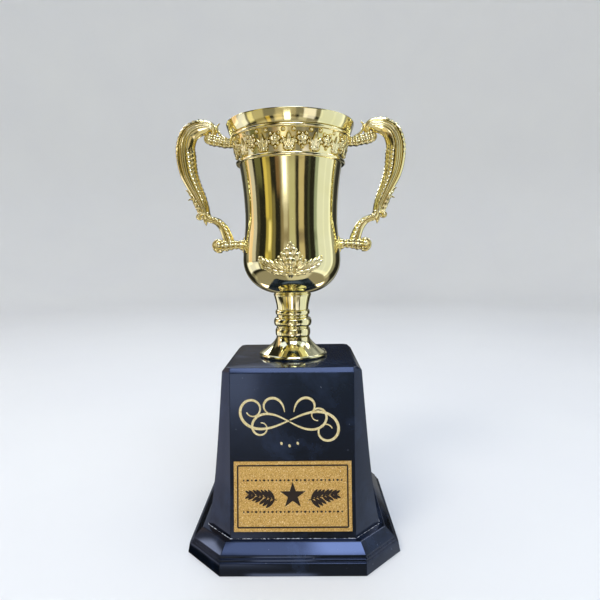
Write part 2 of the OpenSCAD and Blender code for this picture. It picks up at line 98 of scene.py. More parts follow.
# %% Mesh helpers
def grid_quads(rows, columns, start=0):
    """Quads of a grid numbered row by row: each joins a point to its neighbours across and ahead."""
    corner = (np.arange(rows - 1)[:, None] * columns + np.arange(columns - 1)[None, :]).ravel() + start
    return np.stack([corner, corner + 1, corner + columns + 1, corner + columns], axis=1)


def make_piece(name, grids, material, sharp, replaces=(), values=None):
    """One object from several (rows, columns, 3) grids in millimetres. The last argument holds one
    number per point of each grid: painted shade, which materials read as the attribute called relief."""
    points = np.concatenate([g.reshape(-1, 3) for g in grids]) * MM
    starts = np.cumsum([0] + [g.shape[0] * g.shape[1] for g in grids[:-1]])
    quads = np.concatenate([grid_quads(g.shape[0], g.shape[1], s) for g, s in zip(grids, starts)])
    mesh = bpy.data.meshes.new(name)
    mesh.vertices.add(len(points))
    mesh.vertices.foreach_set("co", points.astype(np.float32).ravel())
    mesh.loops.add(quads.size)
    mesh.loops.foreach_set("vertex_index", quads.astype(np.int32).ravel())
    mesh.polygons.add(len(quads))
    mesh.polygons.foreach_set("loop_start", np.arange(len(quads), dtype=np.int32) * 4)
    mesh.update(calc_edges=True)
    # The painted shade goes on the mesh as the point attribute relief.
    if values is not None:
        layer = mesh.attributes.new("relief", "FLOAT", "POINT")
        layer.data.foreach_set("value", np.concatenate([v.ravel() for v in values]).astype(np.float32))
    welded = bmesh.new()
    welded.from_mesh(mesh)
    bmesh.ops.remove_doubles(welded, verts=welded.verts, dist=2e-6)
    bmesh.ops.recalc_face_normals(welded, faces=welded.faces)
    welded.to_mesh(mesh)
    welded.free()
    mesh.shade_smooth()
    mesh.set_sharp_from_angle(angle=math.radians(sharp))
    piece = bpy.data.objects.new(name, mesh)
    bpy.context.scene.collection.objects.link(piece)
    mesh.materials.append(material)
    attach(piece, "root")
    if replaces:
        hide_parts(*replaces)
    print(f"{name}: {len(mesh.polygons)} faces")
    return piece


def eased_corners(points, cuts, steps=6):
    """A polyline with its inner corners softened. Each corner B gives way to the quadratic curve
    (1-t)^2 A + 2t(1-t) B + t^2 C, where A and C lie one cut before and after it."""
    points = np.asarray(points, float)
    t = np.linspace(0, 1, steps + 1)[:, None]
    parts = [points[:1]]
    for before, corner, after, cut in zip(points[:-2], points[1:-1], points[2:], cuts):
        a = corner + (before - corner) * min(0.45, cut / np.linalg.norm(before - corner))
        c = corner + (after - corner) * min(0.45, cut / np.linalg.norm(after - corner))
        parts.append((1 - t) ** 2 * a + 2 * t * (1 - t) * corner + t**2 * c)
    return np.concatenate(parts + [points[-1:]])


def lathe(profile, columns, closed=False):
    """A turned surface: the point (r, z) goes round the Z axis as (r sin a, -r cos a, z). A closed
    profile comes back to its first point."""
    profile = np.asarray(profile, float)
    if closed:
        profile = np.concatenate([profile, profile[:1]])
    a = np.linspace(0, 2 * math.pi, columns + 1)
    r, z = profile[:, 0][:, None], profile[:, 1][:, None]
    return np.stack([r * np.sin(a), -r * np.cos(a), z + 0 * a], axis=2)


def curve_through(points, per_span):
    """A Catmull-Rom curve: each span runs from its second to its third point, and leaves and
    arrives parallel to the line between that point's two neighbours."""
    p = np.asarray(points, float)
    p = np.concatenate([2 * p[:1] - p[1:2], p, 2 * p[-1:] - p[-2:-1]])
    t = (np.arange(per_span) / per_span)[None, :, None]
    a, b, c, d = (p[i : len(p) - 3 + i][:, None, :] for i in range(4))
    run = 0.5 * (2 * b + (c - a) * t + (2 * a - 5 * b + 4 * c - d) * t**2
                 + (3 * b - a - 3 * c + d) * t**3)
    return np.concatenate([run.reshape(-1, p.shape[1]), p[-2:-1]])


# %% [markdown]
# ## Materials
# A colour is written as its sRGB hex value and turned to the linear numbers that shaders want.
# One function adds a node with its settings and its links; everything else is plain data.

# %% Colour and node helpers
def linear(code):
    """sRGB hex to linear RGBA: below 0.04045 divide by 12.92, above it use the 2.4 power law."""
    channels = np.array([int(code[i : i + 2], 16) / 255 for i in (1, 3, 5)])
    curve = np.where(channels <= 0.04045, channels / 12.92, ((channels + 0.055) / 1.055) ** 2.4)
    return (*curve.tolist(), 1.0)


def new_material(name):
    """An empty node tree with a Principled shader joined to the output."""
    material = bpy.data.materials.new(name)
    material.use_nodes = True
    return material, material.node_tree, material.node_tree.nodes["Principled BSDF"]


def add(tree, kind, inputs=None, links=None, **settings):
    """Adds a node: settings are its properties, inputs are socket values, and links join other
    nodes' outputs, given as (node, output), to its sockets."""
    node = tree.nodes.new(kind)
    for key, value in settings.items():
        setattr(node, key, value)
    for key, value in (inputs or {}).items():
        node.inputs[key].default_value = value
    for key, (other, output) in (links or {}).items():
        tree.links.new(other.outputs[output], node.inputs[key])
    return node


def dress(tree, shader, **sockets):
    """Fills the shader's sockets, named with _ for a space: a (node, output) pair is joined to its
    socket, and anything else becomes the socket's value."""
    for name, value in sockets.items():
        socket = shader.inputs[name.replace("_", " ")]
        if isinstance(value, tuple) and isinstance(value[0], bpy.types.Node):
            tree.links.new(value[0].outputs[value[1]], socket)
        else:
            socket.default_value = value


def ramp(tree, source, output, stops):
    """A colour ramp whose stops are (position, hex) pairs."""
    node = add(tree, "ShaderNodeValToRGB", links={"Fac": (source, output)})
    elements = node.color_ramp.elements
    while len(elements) < len(stops):
        elements.new(0.5)
    for element, (position, code) in zip(elements, stops):
        element.position = position
        element.color = linear(code)
    return node


def per_mm(size):
    """Noise scale for a feature of this size in millimetres, on Object coordinates in metres."""
    return 1 / (size * MM)


def noise(tree, place, size, detail, **inputs):
    """Smooth noise with patches of this size in millimetres on the piece's own coordinates."""
    node = add(tree, "ShaderNodeTexNoise", {"Scale": per_mm(size), "Detail": detail}, {"Vector": (place, "Object")})
    for key, value in inputs.items():
        node.inputs[key].default_value = value
    return node


def flakes(tree, place, size):
    """Random cells of this size in millimetres on the piece's own coordinates."""
    return add(tree, "ShaderNodeTexVoronoi", {"Scale": per_mm(size), "Randomness": 1.0}, {"Vector": (place, "Object")})


def remap(tree, source, low, high, to_low, to_high):
    """Maps an output from the range low to high on to to_low to to_high, and holds it there."""
    return add(tree, "ShaderNodeMapRange", {"From Min": low, "From Max": high, "To Min": to_low, "To Max": to_high},
               {"Value": source})


def bump(tree, source, height, strength, under=None):
    """A bump of this height in millimetres, laid over another bump if one is given."""
    links = {"Height": source}
    if under:
        links["Normal"] = (under, "Normal")
    return add(tree, "ShaderNodeBump", {"Strength": strength, "Distance": height * MM}, links)


# %% [markdown]
# ### Metallised gold lacquer
# The cup is ABS that has been vacuum-metallised with aluminium and dipped in a clear yellow
# lacquer. It mirrors its surroundings, pale lemon where it sees white and deep gold where it sees
# itself twice. Moulded plastic is never perfectly true, so a slow, very low bump lets the
# reflections waver, and handling leaves faint soft patches.

# %% Gold
def gold(name, relief):
    """The plated finish. With relief, the piece's relief attribute, 0 in a hollow and 1 on a crest,
    makes corners satin, where lacquer gathers, darkens them with painted shade, and leaves open ground and crests
    bright."""
    material, tree, shader = new_material(name)
    place = add(tree, "ShaderNodeTexCoord")
    # Relief pieces get a paler tint than plain gold, painted lighter so that they read bright under the painted shade.
    shades = ("#FBEFAE", "#FFF6C2") if relief else ("#F0E7A8", "#F6EEB8")
    tint = ramp(tree, noise(tree, place, 30, 3.0), "Fac", [(0.3, shades[0]), (0.7, shades[1])])
    smear = noise(tree, place, 12, 6.0, Roughness=0.6)
    rough = remap(tree, (smear, "Fac"), 0.35, 0.75, 0.05, 0.11)
    colour, spread = (tint, "Color"), (rough, "Result")
    if relief:
        height = add(tree, "ShaderNodeAttribute", attribute_name="relief")
        # Painted shade: below 0.5 the relief value darkens the tint, in hollows and beside hills where shade falls;
        # from 0.5 up the tint stays as it is.
        depth = ramp(tree, height, "Fac", [(0.0, "#6A5218"), (0.16, "#BBA24E"), (0.34, "#F3E9BE"), (0.5, "#FFFFFF")])
        tint_under_painted_shade = add(tree, "ShaderNodeMix", links={6: colour, 7: (depth, "Color")}, data_type="RGBA",
                    blend_type="MULTIPLY")
        tint_under_painted_shade.inputs["Factor"].default_value = 1.0
        satin = remap(tree, (height, "Fac"), 0.1, 0.7, 0.09, 0.0)
        both = add(tree, "ShaderNodeMath", links={0: spread, 1: (satin, "Result")}, operation="ADD")
        colour, spread = (tint_under_painted_shade, 2), (both, 0)
    slow = bump(tree, (noise(tree, place, 9, 1.0), "Fac"), 0.06, 0.5)
    fine = bump(tree, (noise(tree, place, 0.8, 2.0), "Fac"), 0.012, 0.35, under=slow)
    dress(tree, shader, Base_Color=colour, Roughness=spread, Normal=(fine, "Normal"), Metallic=1.0)
    return material


GOLD = gold("metallised ABS, gold lacquer", relief=False)
GOLD_PAINTED_SHADE = gold("metallised ABS, gold lacquer over relief, painted shade", relief=True)

# %% [markdown]
# ### Gloss black ABS
# The pedestal is injection-moulded from blue-black ABS in a polished mould, so it mirrors the room
# faintly and with a blue cast. Dust lies on it as specks, wiped smears scatter a little light, and
# fingers have left hazy patches.

# %% Black ABS
HAZE_FROM, HAZE_TO = 70, 142


def black_abs():
    """Smears and dust are one roughness pattern and one colour pattern over the blue-black body.
    The haze also grows with height above the plaque's middle, so the body is paler and rougher towards the top."""
    material, tree, shader = new_material("ABS, gloss blue-black, moulded")
    place = add(tree, "ShaderNodeTexCoord")
    smear = noise(tree, place, 42, 5.0, Roughness=0.6, Distortion=0.35)
    haze = remap(tree, (smear, "Fac"), 0.54, 0.82, 0.0, 1.0)
    height = add(tree, "ShaderNodeSeparateXYZ", links={0: (place, "Object")})
    # More haze towards the top: paler and rougher with height.
    held = remap(tree, (height, "Z"), HAZE_FROM * MM, HAZE_TO * MM, 0.0, 0.22)
    haze = add(tree, "ShaderNodeMath", links={0: (haze, "Result"), 1: (held, "Result")}, operation="ADD",
               use_clamp=True)
    dots = remap(tree, (flakes(tree, place, 2.4), "Distance"), 0.04, 0.1, 1.0, 0.0)
    where = remap(tree, (noise(tree, place, 6, 2.0), "Fac"), 0.58, 0.7, 0.0, 0.8)
    dust = add(tree, "ShaderNodeMath", links={0: (dots, "Result"), 1: (where, "Result")}, operation="MULTIPLY")
    body = add(tree, "ShaderNodeMix", data_type="RGBA", links={"Factor": (haze, 0)})
    body.inputs[6].default_value = linear("#040913")
    body.inputs[7].default_value = linear("#253148")
    dusty = add(tree, "ShaderNodeMix", data_type="RGBA", links={"Factor": (dust, 0), 6: (body, 2)})
    dusty.inputs[7].default_value = linear("#B4BAC6")
    rough = remap(tree, (haze, 0), 0.0, 1.0, 0.055, 0.25)
    slow = bump(tree, (noise(tree, place, 20, 1.0), "Fac"), 0.16, 0.5)
    raised = bump(tree, (dust, 0), 0.05, 0.6, under=slow)
    dress(tree, shader, Base_Color=(dusty, 2), Roughness=(rough, "Result"), Normal=(raised, "Normal"), IOR=1.54,
          Specular_IOR_Level=0.42, Specular_Tint=linear("#C4D8FF"))
    return material


BLACK = black_abs()

# %% [markdown]
# ### Plaque, print and pen
# The plaque is a sheet covered in gold glitter film: flakes of metallised polyester about 0.3 mm
# across, each lying at its own tilt. They are drawn at 0.55 mm so that they show at arm's length.
# The print is matt ink, and the flourish above the plaque is gold paint from a marker pen.

# %% Plaque finishes
def glitter():
    """Flakes are cells: each has its own colour and, through a bump on that colour, its own tilt.
    The colour is partly the flakes' own random tone and partly painted glint, the palest cells standing for flakes
    that catch the light.
    """
    material, tree, shader = new_material("polyester glitter film, gold")
    cells = (flakes(tree, add(tree, "ShaderNodeTexCoord"), 0.55), "Color")
    # Partly random tone, partly painted glint: the near-white top of the ramp paints flakes catching the light.
    shade = ramp(tree, *cells, [(0.0, "#A67A34"), (0.35, "#D0A558"), (0.8, "#E3BF74"), (0.94, "#FBE6B0"),
                                (1.0, "#FFF8DC")])
    dress(tree, shader, Base_Color=(shade, "Color"), Normal=(bump(tree, cells, 0.12, 0.7), "Normal"),
          Roughness=(remap(tree, cells, 0.0, 1.0, 0.55, 0.3), "Result"), Metallic=0.55)
    return material


def plain(name, dark, light, size, roughness, relief=0.0, metallic=0.0):
    """A finish with soft mottling between two shades, patches of the given size in millimetres,
    and a bump of the same pattern, relief millimetres high."""
    material, tree, shader = new_material(name)
    mottle = (noise(tree, add(tree, "ShaderNodeTexCoord"), size, 4.0), "Fac")
    shade = ramp(tree, *mottle, [(0.3, dark), (0.7, light)])
    spread = remap(tree, mottle, 0.0, 1.0, roughness * 0.8, min(1, roughness * 1.2))
    dress(tree, shader, Base_Color=(shade, "Color"), Roughness=(spread, "Result"), Metallic=metallic)
    if relief:
        dress(tree, shader, Normal=(bump(tree, mottle, relief, 0.8), "Normal"))
    return material


GLITTER = glitter()
INK = plain("screen ink, matt brown black", "#160C06", "#24140A", 0.6, 0.6, 0.01)
PEN = plain("paint marker, gold", "#CDB777", "#F2E6B8", 1.4, 0.42, 0.05, metallic=0.25)
GLUE = plain("solvent cement, dried white", "#8C9099", "#D9DBDD", 0.7, 0.5, 0.08)

# %% [markdown]
# ### The pieces that stay hidden
# Steel, hardboard, felt and adhesive keep the meshes of the frame. They show only from below or
# when the cup is taken apart, and each still gets the finish of its real material.

# %% Hidden finishes
STEEL = plain("zinc plated steel", "#8F949A", "#B9BEC4", 1.5, 0.32, 0.01, metallic=1.0)
BALLAST = plain("hot rolled steel, oiled", "#1C1D20", "#34363A", 6.0, 0.45, 0.05, metallic=0.8)
BOARD = plain("hardboard, pressed", "#3A2A1C", "#5B432D", 1.0, 0.75, 0.08)
FELT = plain("wool felt, green", "#12301F", "#1F4D33", 0.5, 0.95, 0.25)
FOAM = plain("acrylic foam tape, white", "#D5D3CB", "#ECEAE2", 0.8, 0.8, 0.05)
for node, material in {
    "tie_rod": STEEL, "upper_nut": STEEL, "upper_washer": STEEL, "lower_nut": STEEL, "lower_washer": STEEL,
    "base_board_screws": STEEL, "handle_screws": STEEL, "ballast_plate": BALLAST, "base_board": BOARD,
    "felt_pad": FELT, "plaque_adhesive": FOAM,
}.items():
    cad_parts[node].data.materials.clear()
    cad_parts[node].data.materials.append(material)
print("materials", len(bpy.data.materials))

# %% [markdown]
# ## Pedestal
# Both black mouldings are squares with their corners cut off. Four flat sides and four corner
# facets meet in edges that the mould rounds off by about half a millimetre, and those thin rounds
# are what catch the light. A cross-section is an eight-sided outline drawn round eight small arcs.
# Sweeping it up a profile of (half width, height, half length of a flat side) makes the moulding.

# %% Eight-sided sweep
def eight_sided(profile, edge_r, arc_steps=5):
    """Each ring has eight arcs of radius edge_r. Shrunk by that radius, a flat side lies at
    D = half - r and a corner facet at E = (half + flat) / sqrt 2 - r, and they meet where
    x = sqrt 2 E - D on the side at D; each arc turns from one side's normal to the next."""
    half, z, flat = (profile[:, i][:, None] for i in range(3))
    radius = np.minimum(edge_r, half * 0.4)
    side = half - radius
    along = math.sqrt(2) * ((half + flat) / math.sqrt(2) - radius) - side
    turn = np.linspace(0, math.pi / 4, arc_steps + 1)
    xs, ys = [], []
    for quarter in range(4):
        c, s = math.cos(quarter * math.pi / 2), math.sin(quarter * math.pi / 2)
        for corner_x, corner_y, first in ((along, -side, -math.pi / 2), (side, -along, -math.pi / 4)):
            x = corner_x + radius * np.cos(first + turn)
            y = corner_y + radius * np.sin(first + turn)
            xs.append(c * x - s * y)
            ys.append(s * x + c * y)
    x, y = np.concatenate(xs, axis=1), np.concatenate(ys, axis=1)
    ring = np.stack([x, y, z + 0 * x], axis=2)
    return np.concatenate([ring, ring[:, :1]], axis=1)


# %% [markdown]
# The column's sides widen evenly and then faster towards the bottom, so they curve like the foot
# of a bell. At the top a narrow bevel leads to the flat face that the cup stands on.

# %% Column
COLUMN_FLARE = COLUMN_FOOT - COLUMN_HALF - COLUMN_TAPER


def column_side(z):
    """Half width at height z: an even taper plus a power curve that sets in near the bottom."""
    share = np.clip((BEVEL_Z - np.asarray(z, float)) / (BEVEL_Z - LEDGE_Z), 0, 1)
    return COLUMN_HALF + COLUMN_TAPER * share + COLUMN_FLARE * share**COLUMN_CURVE


def column_profile():
    """Bottom centre, up the flare, over the bevel, and in to the centre of the top."""
    z = np.linspace(LEDGE_Z, BEVEL_Z - 1.5, 70)
    flare = np.stack([column_side(z), z], axis=1)
    top = eased_corners([flare[-1], [COLUMN_HALF, BEVEL_Z], [COLUMN_FLAT + TOP_CORNER, COLUMN_TOP],
                         [30.0, COLUMN_TOP]], [0.5, 0.6])
    outline = np.concatenate([[[0.5, LEDGE_Z]], flare[:-1], top, [[0.5, COLUMN_TOP]]])
    flat = np.minimum(COLUMN_FLAT, outline[:, 0] - 0.01)
    return np.column_stack([outline, flat])


def close_poles(ring_grid):
    """Adds a line of points at the centre of the first and the last ring."""
    ends = [np.broadcast_to(ring_grid[i].mean(axis=0), ring_grid[i].shape)[None] for i in (0, -1)]
    return np.concatenate([ends[0], ring_grid, ends[1]])


make_piece("column_skin", [close_poles(eight_sided(column_profile(), 0.7))], BLACK,
           replaces=["pedestal_column"], sharp=40)

# %% [markdown]
# The plinth stands on an upright skirt, draws in over two small steps, and slopes up to the ledge
# around the column. Its outline runs from the middle of the deck over the edge and back up inside.

# %% Plinth
SKIRT_H, STEP_H, STEP_IN, SKIRT_DRAFT, SHOULDER_H = 8.6, 1.8, 1.5, 1.6, 6.7
PLINTH_FLAT, DECK_FLAT, LEDGE_W, PLINTH_WALL, DECK_T = 52.0, 49.0, 3.8, 2.4, 2.4


def plinth_profile():
    """Each line is (half width, height, half length of a flat side) at a corner of the moulding."""
    deck = COLUMN_FOOT + LEDGE_W
    skirt, first = PLINTH_HALF - SKIRT_DRAFT, PLINTH_HALF - SKIRT_DRAFT - STEP_IN
    second = first - STEP_IN
    inside = PLINTH_HALF - PLINTH_WALL
    corners = [[2.0, LEDGE_Z, 1.9], [deck, LEDGE_Z, DECK_FLAT], [second, LEDGE_Z - SHOULDER_H, PLINTH_FLAT],
               [second, SKIRT_H + STEP_H, PLINTH_FLAT], [first, SKIRT_H + STEP_H, PLINTH_FLAT],
               [first, SKIRT_H, PLINTH_FLAT], [skirt, SKIRT_H, PLINTH_FLAT], [PLINTH_HALF, 0, PLINTH_FLAT],
               [inside, 0, PLINTH_FLAT - 1], [inside - SKIRT_DRAFT, SKIRT_H, PLINTH_FLAT - 1],
               [deck, LEDGE_Z - DECK_T, DECK_FLAT - 1], [2.0, LEDGE_Z - DECK_T, 1.9]]
    return eased_corners(corners, [0.7, 0.6, 0.35, 0.5, 0.35, 0.7, 0.4, 0.4, 1, 1], steps=5)


make_piece("plinth_skin", [close_poles(eight_sided(plinth_profile(), 0.7))], BLACK,
           replaces=["plinth"], sharp=50)

# %% [markdown]
# The two mouldings are cemented together. A little cement has crept out and dried pale along the
# joint, so a bead of uneven width lies in the corner between the ledge and the column.

# %% Cement bead
def cement_bead(seed=4):
    """A round bead along the column's eight-sided foot. Its radius is smoothed noise, held between
    a hair over about half of the length and 0.42 mm."""
    random = np.random.default_rng(seed)
    count = 1400
    ring = eight_sided(np.array([[COLUMN_FOOT + 0.05, LEDGE_Z, COLUMN_FLAT]]), 0.7)[0][:-1]
    closed = np.concatenate([ring, ring[:1]])
    length = np.concatenate([[0], np.cumsum(np.linalg.norm(np.diff(closed, axis=0), axis=1))])
    at = np.linspace(0, length[-1], count, endpoint=False)
    path = np.stack([np.interp(at, length, closed[:, i]) for i in range(3)], axis=1)
    rough = random.normal(size=count)
    kernel = np.hanning(9) / np.hanning(9).sum()
    wave = np.convolve(np.concatenate([rough, rough[:8]]), kernel, "valid")[:count]
    radius = np.clip(0.12 + 0.42 * wave, 0.02, 0.42)[:, None]
    outward = path[:, :2] / np.linalg.norm(path[:, :2], axis=1, keepdims=True)
    a = np.linspace(0, 2 * math.pi, 9)
    flat = path[:, None, :2] + outward[:, None, :] * (radius * np.cos(a))[:, :, None]
    up = path[:, 2][:, None] + radius * np.sin(a)
    grid = np.concatenate([flat, up[:, :, None]], axis=2)
    return np.concatenate([grid, grid[:1]])


make_piece("cement_bead", [cement_bead()], GLUE, sharp=60)

# %% [markdown]
# ## Plaque, print and flourish
# The plaque follows the slight curve of the front. Its print and the pen flourish are drawn as
# ribbons: a path across the face with a width at each point, laid on the curve and given a low
# domed top, as ink has. A star between two laurel branches stands where such plaques have wording.

# %% Ribbons on the front face
def on_front(x, z, lift):
    """Points on the front of the column, lift millimetres proud of it."""
    return np.stack([x, -(column_side(z) + lift), z], axis=-1)


def ribbon(path, half_width, lift, height, across=5):
    """A closed strip along an (x, z) path. Across it the top is a parabola, height * (1 - v^2),
    from edge to edge, and the underside is flat."""
    path = np.asarray(path, float)
    run = np.gradient(path, axis=0)
    run /= np.linalg.norm(run, axis=1, keepdims=True) + 1e-9
    side = np.stack([-run[:, 1], run[:, 0]], axis=1)
    v = np.linspace(-1, 1, across)
    v_all = np.concatenate([v, v[::-1]])
    rise = np.concatenate([height * (1 - v**2) + height * 0.35, np.zeros(across)])
    at = path[:, None, :] + side[:, None, :] * (np.broadcast_to(half_width, len(path))[:, None, None]
                                                * v_all[None, :, None])
    grid = on_front(at[..., 0], at[..., 1], lift + rise[None, :])
    grid = np.concatenate([grid, grid[:, :1]], axis=1)
    return close_poles(grid)


PLAQUE_T, TAPE_T, INK_T = 0.8, 0.4, 0.03
FACE = PLAQUE_T + TAPE_T


def plaque_grid():
    """The sheet: a rounded slab section carried up the front. Rows run along the height, columns
    round the section, and the cut edges waver by a tenth of a millimetre as a knife leaves them."""
    z = np.linspace(PLAQUE_Z, PLAQUE_TOP, 160)[:, None]
    edge = np.array([[-1, 0], [-1, 0.75], [-0.997, 1], [0.997, 1], [1, 0.75], [1, 0], [-1, 0]])
    random = np.random.default_rng(7)
    waver = np.convolve(random.normal(size=164), np.ones(5) / 5, "valid")[:, None] * 0.12
    x = edge[:, 0][None, :] * (PLAQUE_HALF - 0.15 - np.abs(waver))
    grid = on_front(x, z + 0 * x, TAPE_T + PLAQUE_T * edge[:, 1][None, :])
    return close_poles(grid)


make_piece("plaque_sheet", [plaque_grid()], GLITTER, replaces=["plaque"], sharp=30)


# %% Print on the plaque
MID_Z = (PLAQUE_Z + PLAQUE_TOP) / 2
FRAME_X, FRAME_Z = PLAQUE_HALF - 3.1, (PLAQUE_TOP - PLAQUE_Z) / 2 - 2.9
STAR_R = 9.8


def straight(a, b, count):
    """Points along a straight line."""
    t = np.linspace(0, 1, count)[:, None]
    return np.array(a) * (1 - t) + np.array(b) * t


def laurel(x_from, x_to, pairs):
    """Two branches that leave the middle: the stalk runs out in x and rises as 4 sin(pi t / 2), and
    leaves spring from it by pairs, one up and one down, each a strip that swells as a sine."""
    strips = []
    t = np.linspace(0, 1, 36)
    swell = 1.35 * np.sin(math.pi * np.linspace(0.03, 0.97, 14)) ** 0.7
    for mirror in (-1, 1):
        stalk = np.stack([mirror * (x_from + (x_to - x_from) * t),
                          MID_Z - 3.0 + 4.0 * np.sin(math.pi * t / 2)], axis=1)
        strips.append(ribbon(stalk, 0.34 - 0.12 * t, FACE, INK_T))
        for k in range(pairs):
            foot = stalk[int(3 + 31 * k / pairs)]
            length = 8.6 - 0.5 * k
            for lean in (1.0 - 0.07 * k, -0.75 + 0.05 * k):
                tip = foot + length * np.array([mirror * math.cos(lean), math.sin(lean)])
                strips.append(ribbon(straight(foot, tip, 14), swell * (1 - 0.05 * k), FACE, INK_T))
    return strips


def print_strips():
    """Frame, a five-pointed star between two laurel branches, and a dotted rule above and below."""
    x, z = FRAME_X, FRAME_Z
    corners = [(-x, MID_Z - z), (x, MID_Z - z), (x, MID_Z + z), (-x, MID_Z + z), (-x, MID_Z - z)]
    strips = [ribbon(straight(a, b, 40), 0.58, FACE, INK_T) for a, b in zip(corners[:-1], corners[1:])]
    strips += laurel(11.5, 34.0, 7)
    middle = np.array([0, MID_Z + 0.4])
    for k in range(5):
        point = math.radians(90 + 72 * k)
        tip = middle + STAR_R * np.array([math.cos(point), math.sin(point)])
        strips.append(ribbon(straight(middle, tip, 12), np.linspace(3.3, 0.05, 12), FACE, INK_T))
    for level in (MID_Z + 11.4, MID_Z - 11.2):
        for k in range(25):
            x, reach = -36 + 3.0 * k, 1.0 if k % 2 else 0.55
            strips.append(ribbon(straight((x - reach, level), (x + reach, level), 6),
                                 0.8 * np.sin(math.pi * np.linspace(0.08, 0.92, 6)), FACE, INK_T))
    return strips


make_piece("plaque_print", print_strips(), INK, sharp=60)

# %% [markdown]
# The pen drawing is a plain scrollwork flourish, made with a round-tipped marker. A pen whose
# heading turns ever faster draws a scroll: the heading is a power of the distance it has gone, and
# its place is the running sum of the steps. Two such arms back to back make an S.

# %% Pen flourish
def scroll_stroke(start, heading, length, turns, power, steps=220):
    """One arm: after a share t of its length the pen has turned by 2 pi turns t^power."""
    t = np.linspace(0, 1, steps)
    angle = heading + 2 * math.pi * turns * t**power
    x = start[0] + np.cumsum(np.cos(angle)) * length / steps
    z = start[1] + np.cumsum(np.sin(angle)) * length / steps
    return np.stack([x, z], axis=1), t


PEN_X = -2.0


def pen_strokes():
    """Main S, its lighter echo, two sprigs and a row of three dots, as (path, half width) pairs."""
    strokes = []
    for heading, length, turns, level, weight in ((0.42, 82, -1.25, 104, 1.1), (-0.5, 58, 1.1, 103, 0.95)):
        for arm in (0, math.pi):
            path, t = scroll_stroke((PEN_X, level), heading + arm, length, turns, 2.2)
            strokes.append((path, weight * (0.42 + 0.5 * np.sin(math.pi * np.clip(t * 1.1, 0, 1)) ** 0.8)))
    for mirror in (-1, 1):
        start = (PEN_X + mirror * 3.4, 110)
        path, t = scroll_stroke(start, math.pi / 2 - mirror * 0.15, 31, -mirror * 0.66, 1.5)
        strokes.append((path, 0.35 + 0.6 * np.sin(math.pi * t)))
    for x in (-6.0, 0.0, 6.0):
        low = 85.0 + abs(x) * 0.3
        strokes.append((straight((PEN_X + x - 0.8, low), (PEN_X + x + 0.8, low + 0.6), 10),
                        1.2 * np.sin(math.pi * np.linspace(0.12, 0.88, 10))))
    return strokes


make_piece("pen_flourish", [ribbon(path, width, 0.0, 0.12, across=7) for path, width in pen_strokes()], PEN,
           sharp=60)

# %% [markdown]
# ## Foot, stem and bowl
# These are turned shapes, so each is a profile spun round the axis. Beads are half ellipses and
# the grooves between them stay crisp, because that is where a mirror finish goes black.

# %% Foot and stem
def arc(r_from, r_to, z_from, z_to, power, count):
    """From one (r, z) to another along r = r_from + (r_to - r_from) t^power."""
    t = np.linspace(0, 1, count)
    return np.stack([r_from + (r_to - r_from) * t**power, z_from + (z_to - z_from) * t], axis=1)


def bead(r_edge, r_top, z_from, z_to, count=24):
    """A turned bead: z moves as a cosine and r as the 3/4 power of a sine, so it is full."""
    t = np.linspace(0, math.pi, count)
    swell = r_edge + (r_top - r_edge) * np.sin(t) ** 0.75
    return np.stack([swell, (z_from + z_to) / 2 - (z_to - z_from) / 2 * np.cos(t)], axis=1)


def foot_profile():
    """A rounded rim, then a concave spread r = neck + (rim - neck) t^1.6 up to the stem."""
    rim = eased_corners([[10, COLUMN_TOP], [FOOT_R - 0.7, COLUMN_TOP], [FOOT_R, COLUMN_TOP + 1.0],
                         [FOOT_R, COLUMN_TOP + 2.0], [FOOT_R - 0.9, COLUMN_TOP + 3.2],
                         [FOOT_R - 1.4, COLUMN_TOP + 2.95]], [0.5, 0.7, 0.7, 0.3], 6)
    t = np.linspace(1, 0, 60)
    spread = np.stack([NECK_R + (FOOT_R - 1.6 - NECK_R) * t**1.6,
                       KNOP_Z - (KNOP_Z - COLUMN_TOP - 3.0) * t], axis=1)
    return np.concatenate([rim, spread, [[ROD_HOLE, KNOP_Z], [ROD_HOLE, COLUMN_TOP + 5]]])


KNOP_BEADS = [  # edge radius as a share of the neck's, crest radius of the knop's, from and to in height
    (0.985, 0.925, 0.02, 0.31), (0.945, 0.855, 0.31, 0.36), (0.95, 1.0, 0.38, 0.7), (0.93, 0.84, 0.7, 0.78),
    (0.93, 0.91, 0.79, 0.985),
]


def knop_profile():
    """Three full beads and two narrow ones between grooves."""
    height = COLLAR_Z - KNOP_Z
    parts = [[[ROD_HOLE, KNOP_Z], [NECK_R - 0.3, KNOP_Z]]]
    for edge, crest, low, high in KNOP_BEADS:
        crest_r = KNOP_R * crest
        edge_r = min(NECK_R * edge, crest_r + 0.6)
        parts.append(bead(edge_r, crest_r, KNOP_Z + low * height, KNOP_Z + high * height))
    parts.append([[NECK_R - 0.8, COLLAR_Z], [ROD_HOLE, COLLAR_Z]])
    return np.concatenate(parts)


def collar_profile():
    """A trumpet that opens upwards to a narrow rolled lip."""
    trumpet = arc(NECK_R - 0.7, COLLAR_R - 0.35, COLLAR_Z, BOWL_Z - 1.9, 1.35, 40)
    lip = bead(COLLAR_R - 0.35, COLLAR_R, BOWL_Z - 1.7, BOWL_Z - 0.25, 12)
    return np.concatenate([[[ROD_HOLE, COLLAR_Z]], trumpet, lip, [[COLLAR_R - 0.6, BOWL_Z], [ROD_HOLE, BOWL_Z]]])


for name, profile, node in (("foot_skin", foot_profile(), "cup_foot"), ("knop_skin", knop_profile(), "stem_knop"),
                            ("collar_skin", collar_profile(), "stem_collar")):
    make_piece(name, [lathe(profile, 256, closed=True)], GOLD, replaces=[node], sharp=50)

# %% [markdown]
# The bowl's lower part is an ellipse, the waist draws in on a cosine, and the side opens on a
# square curve up to the band. Above the band the wall steps out and flares to a thin lip.

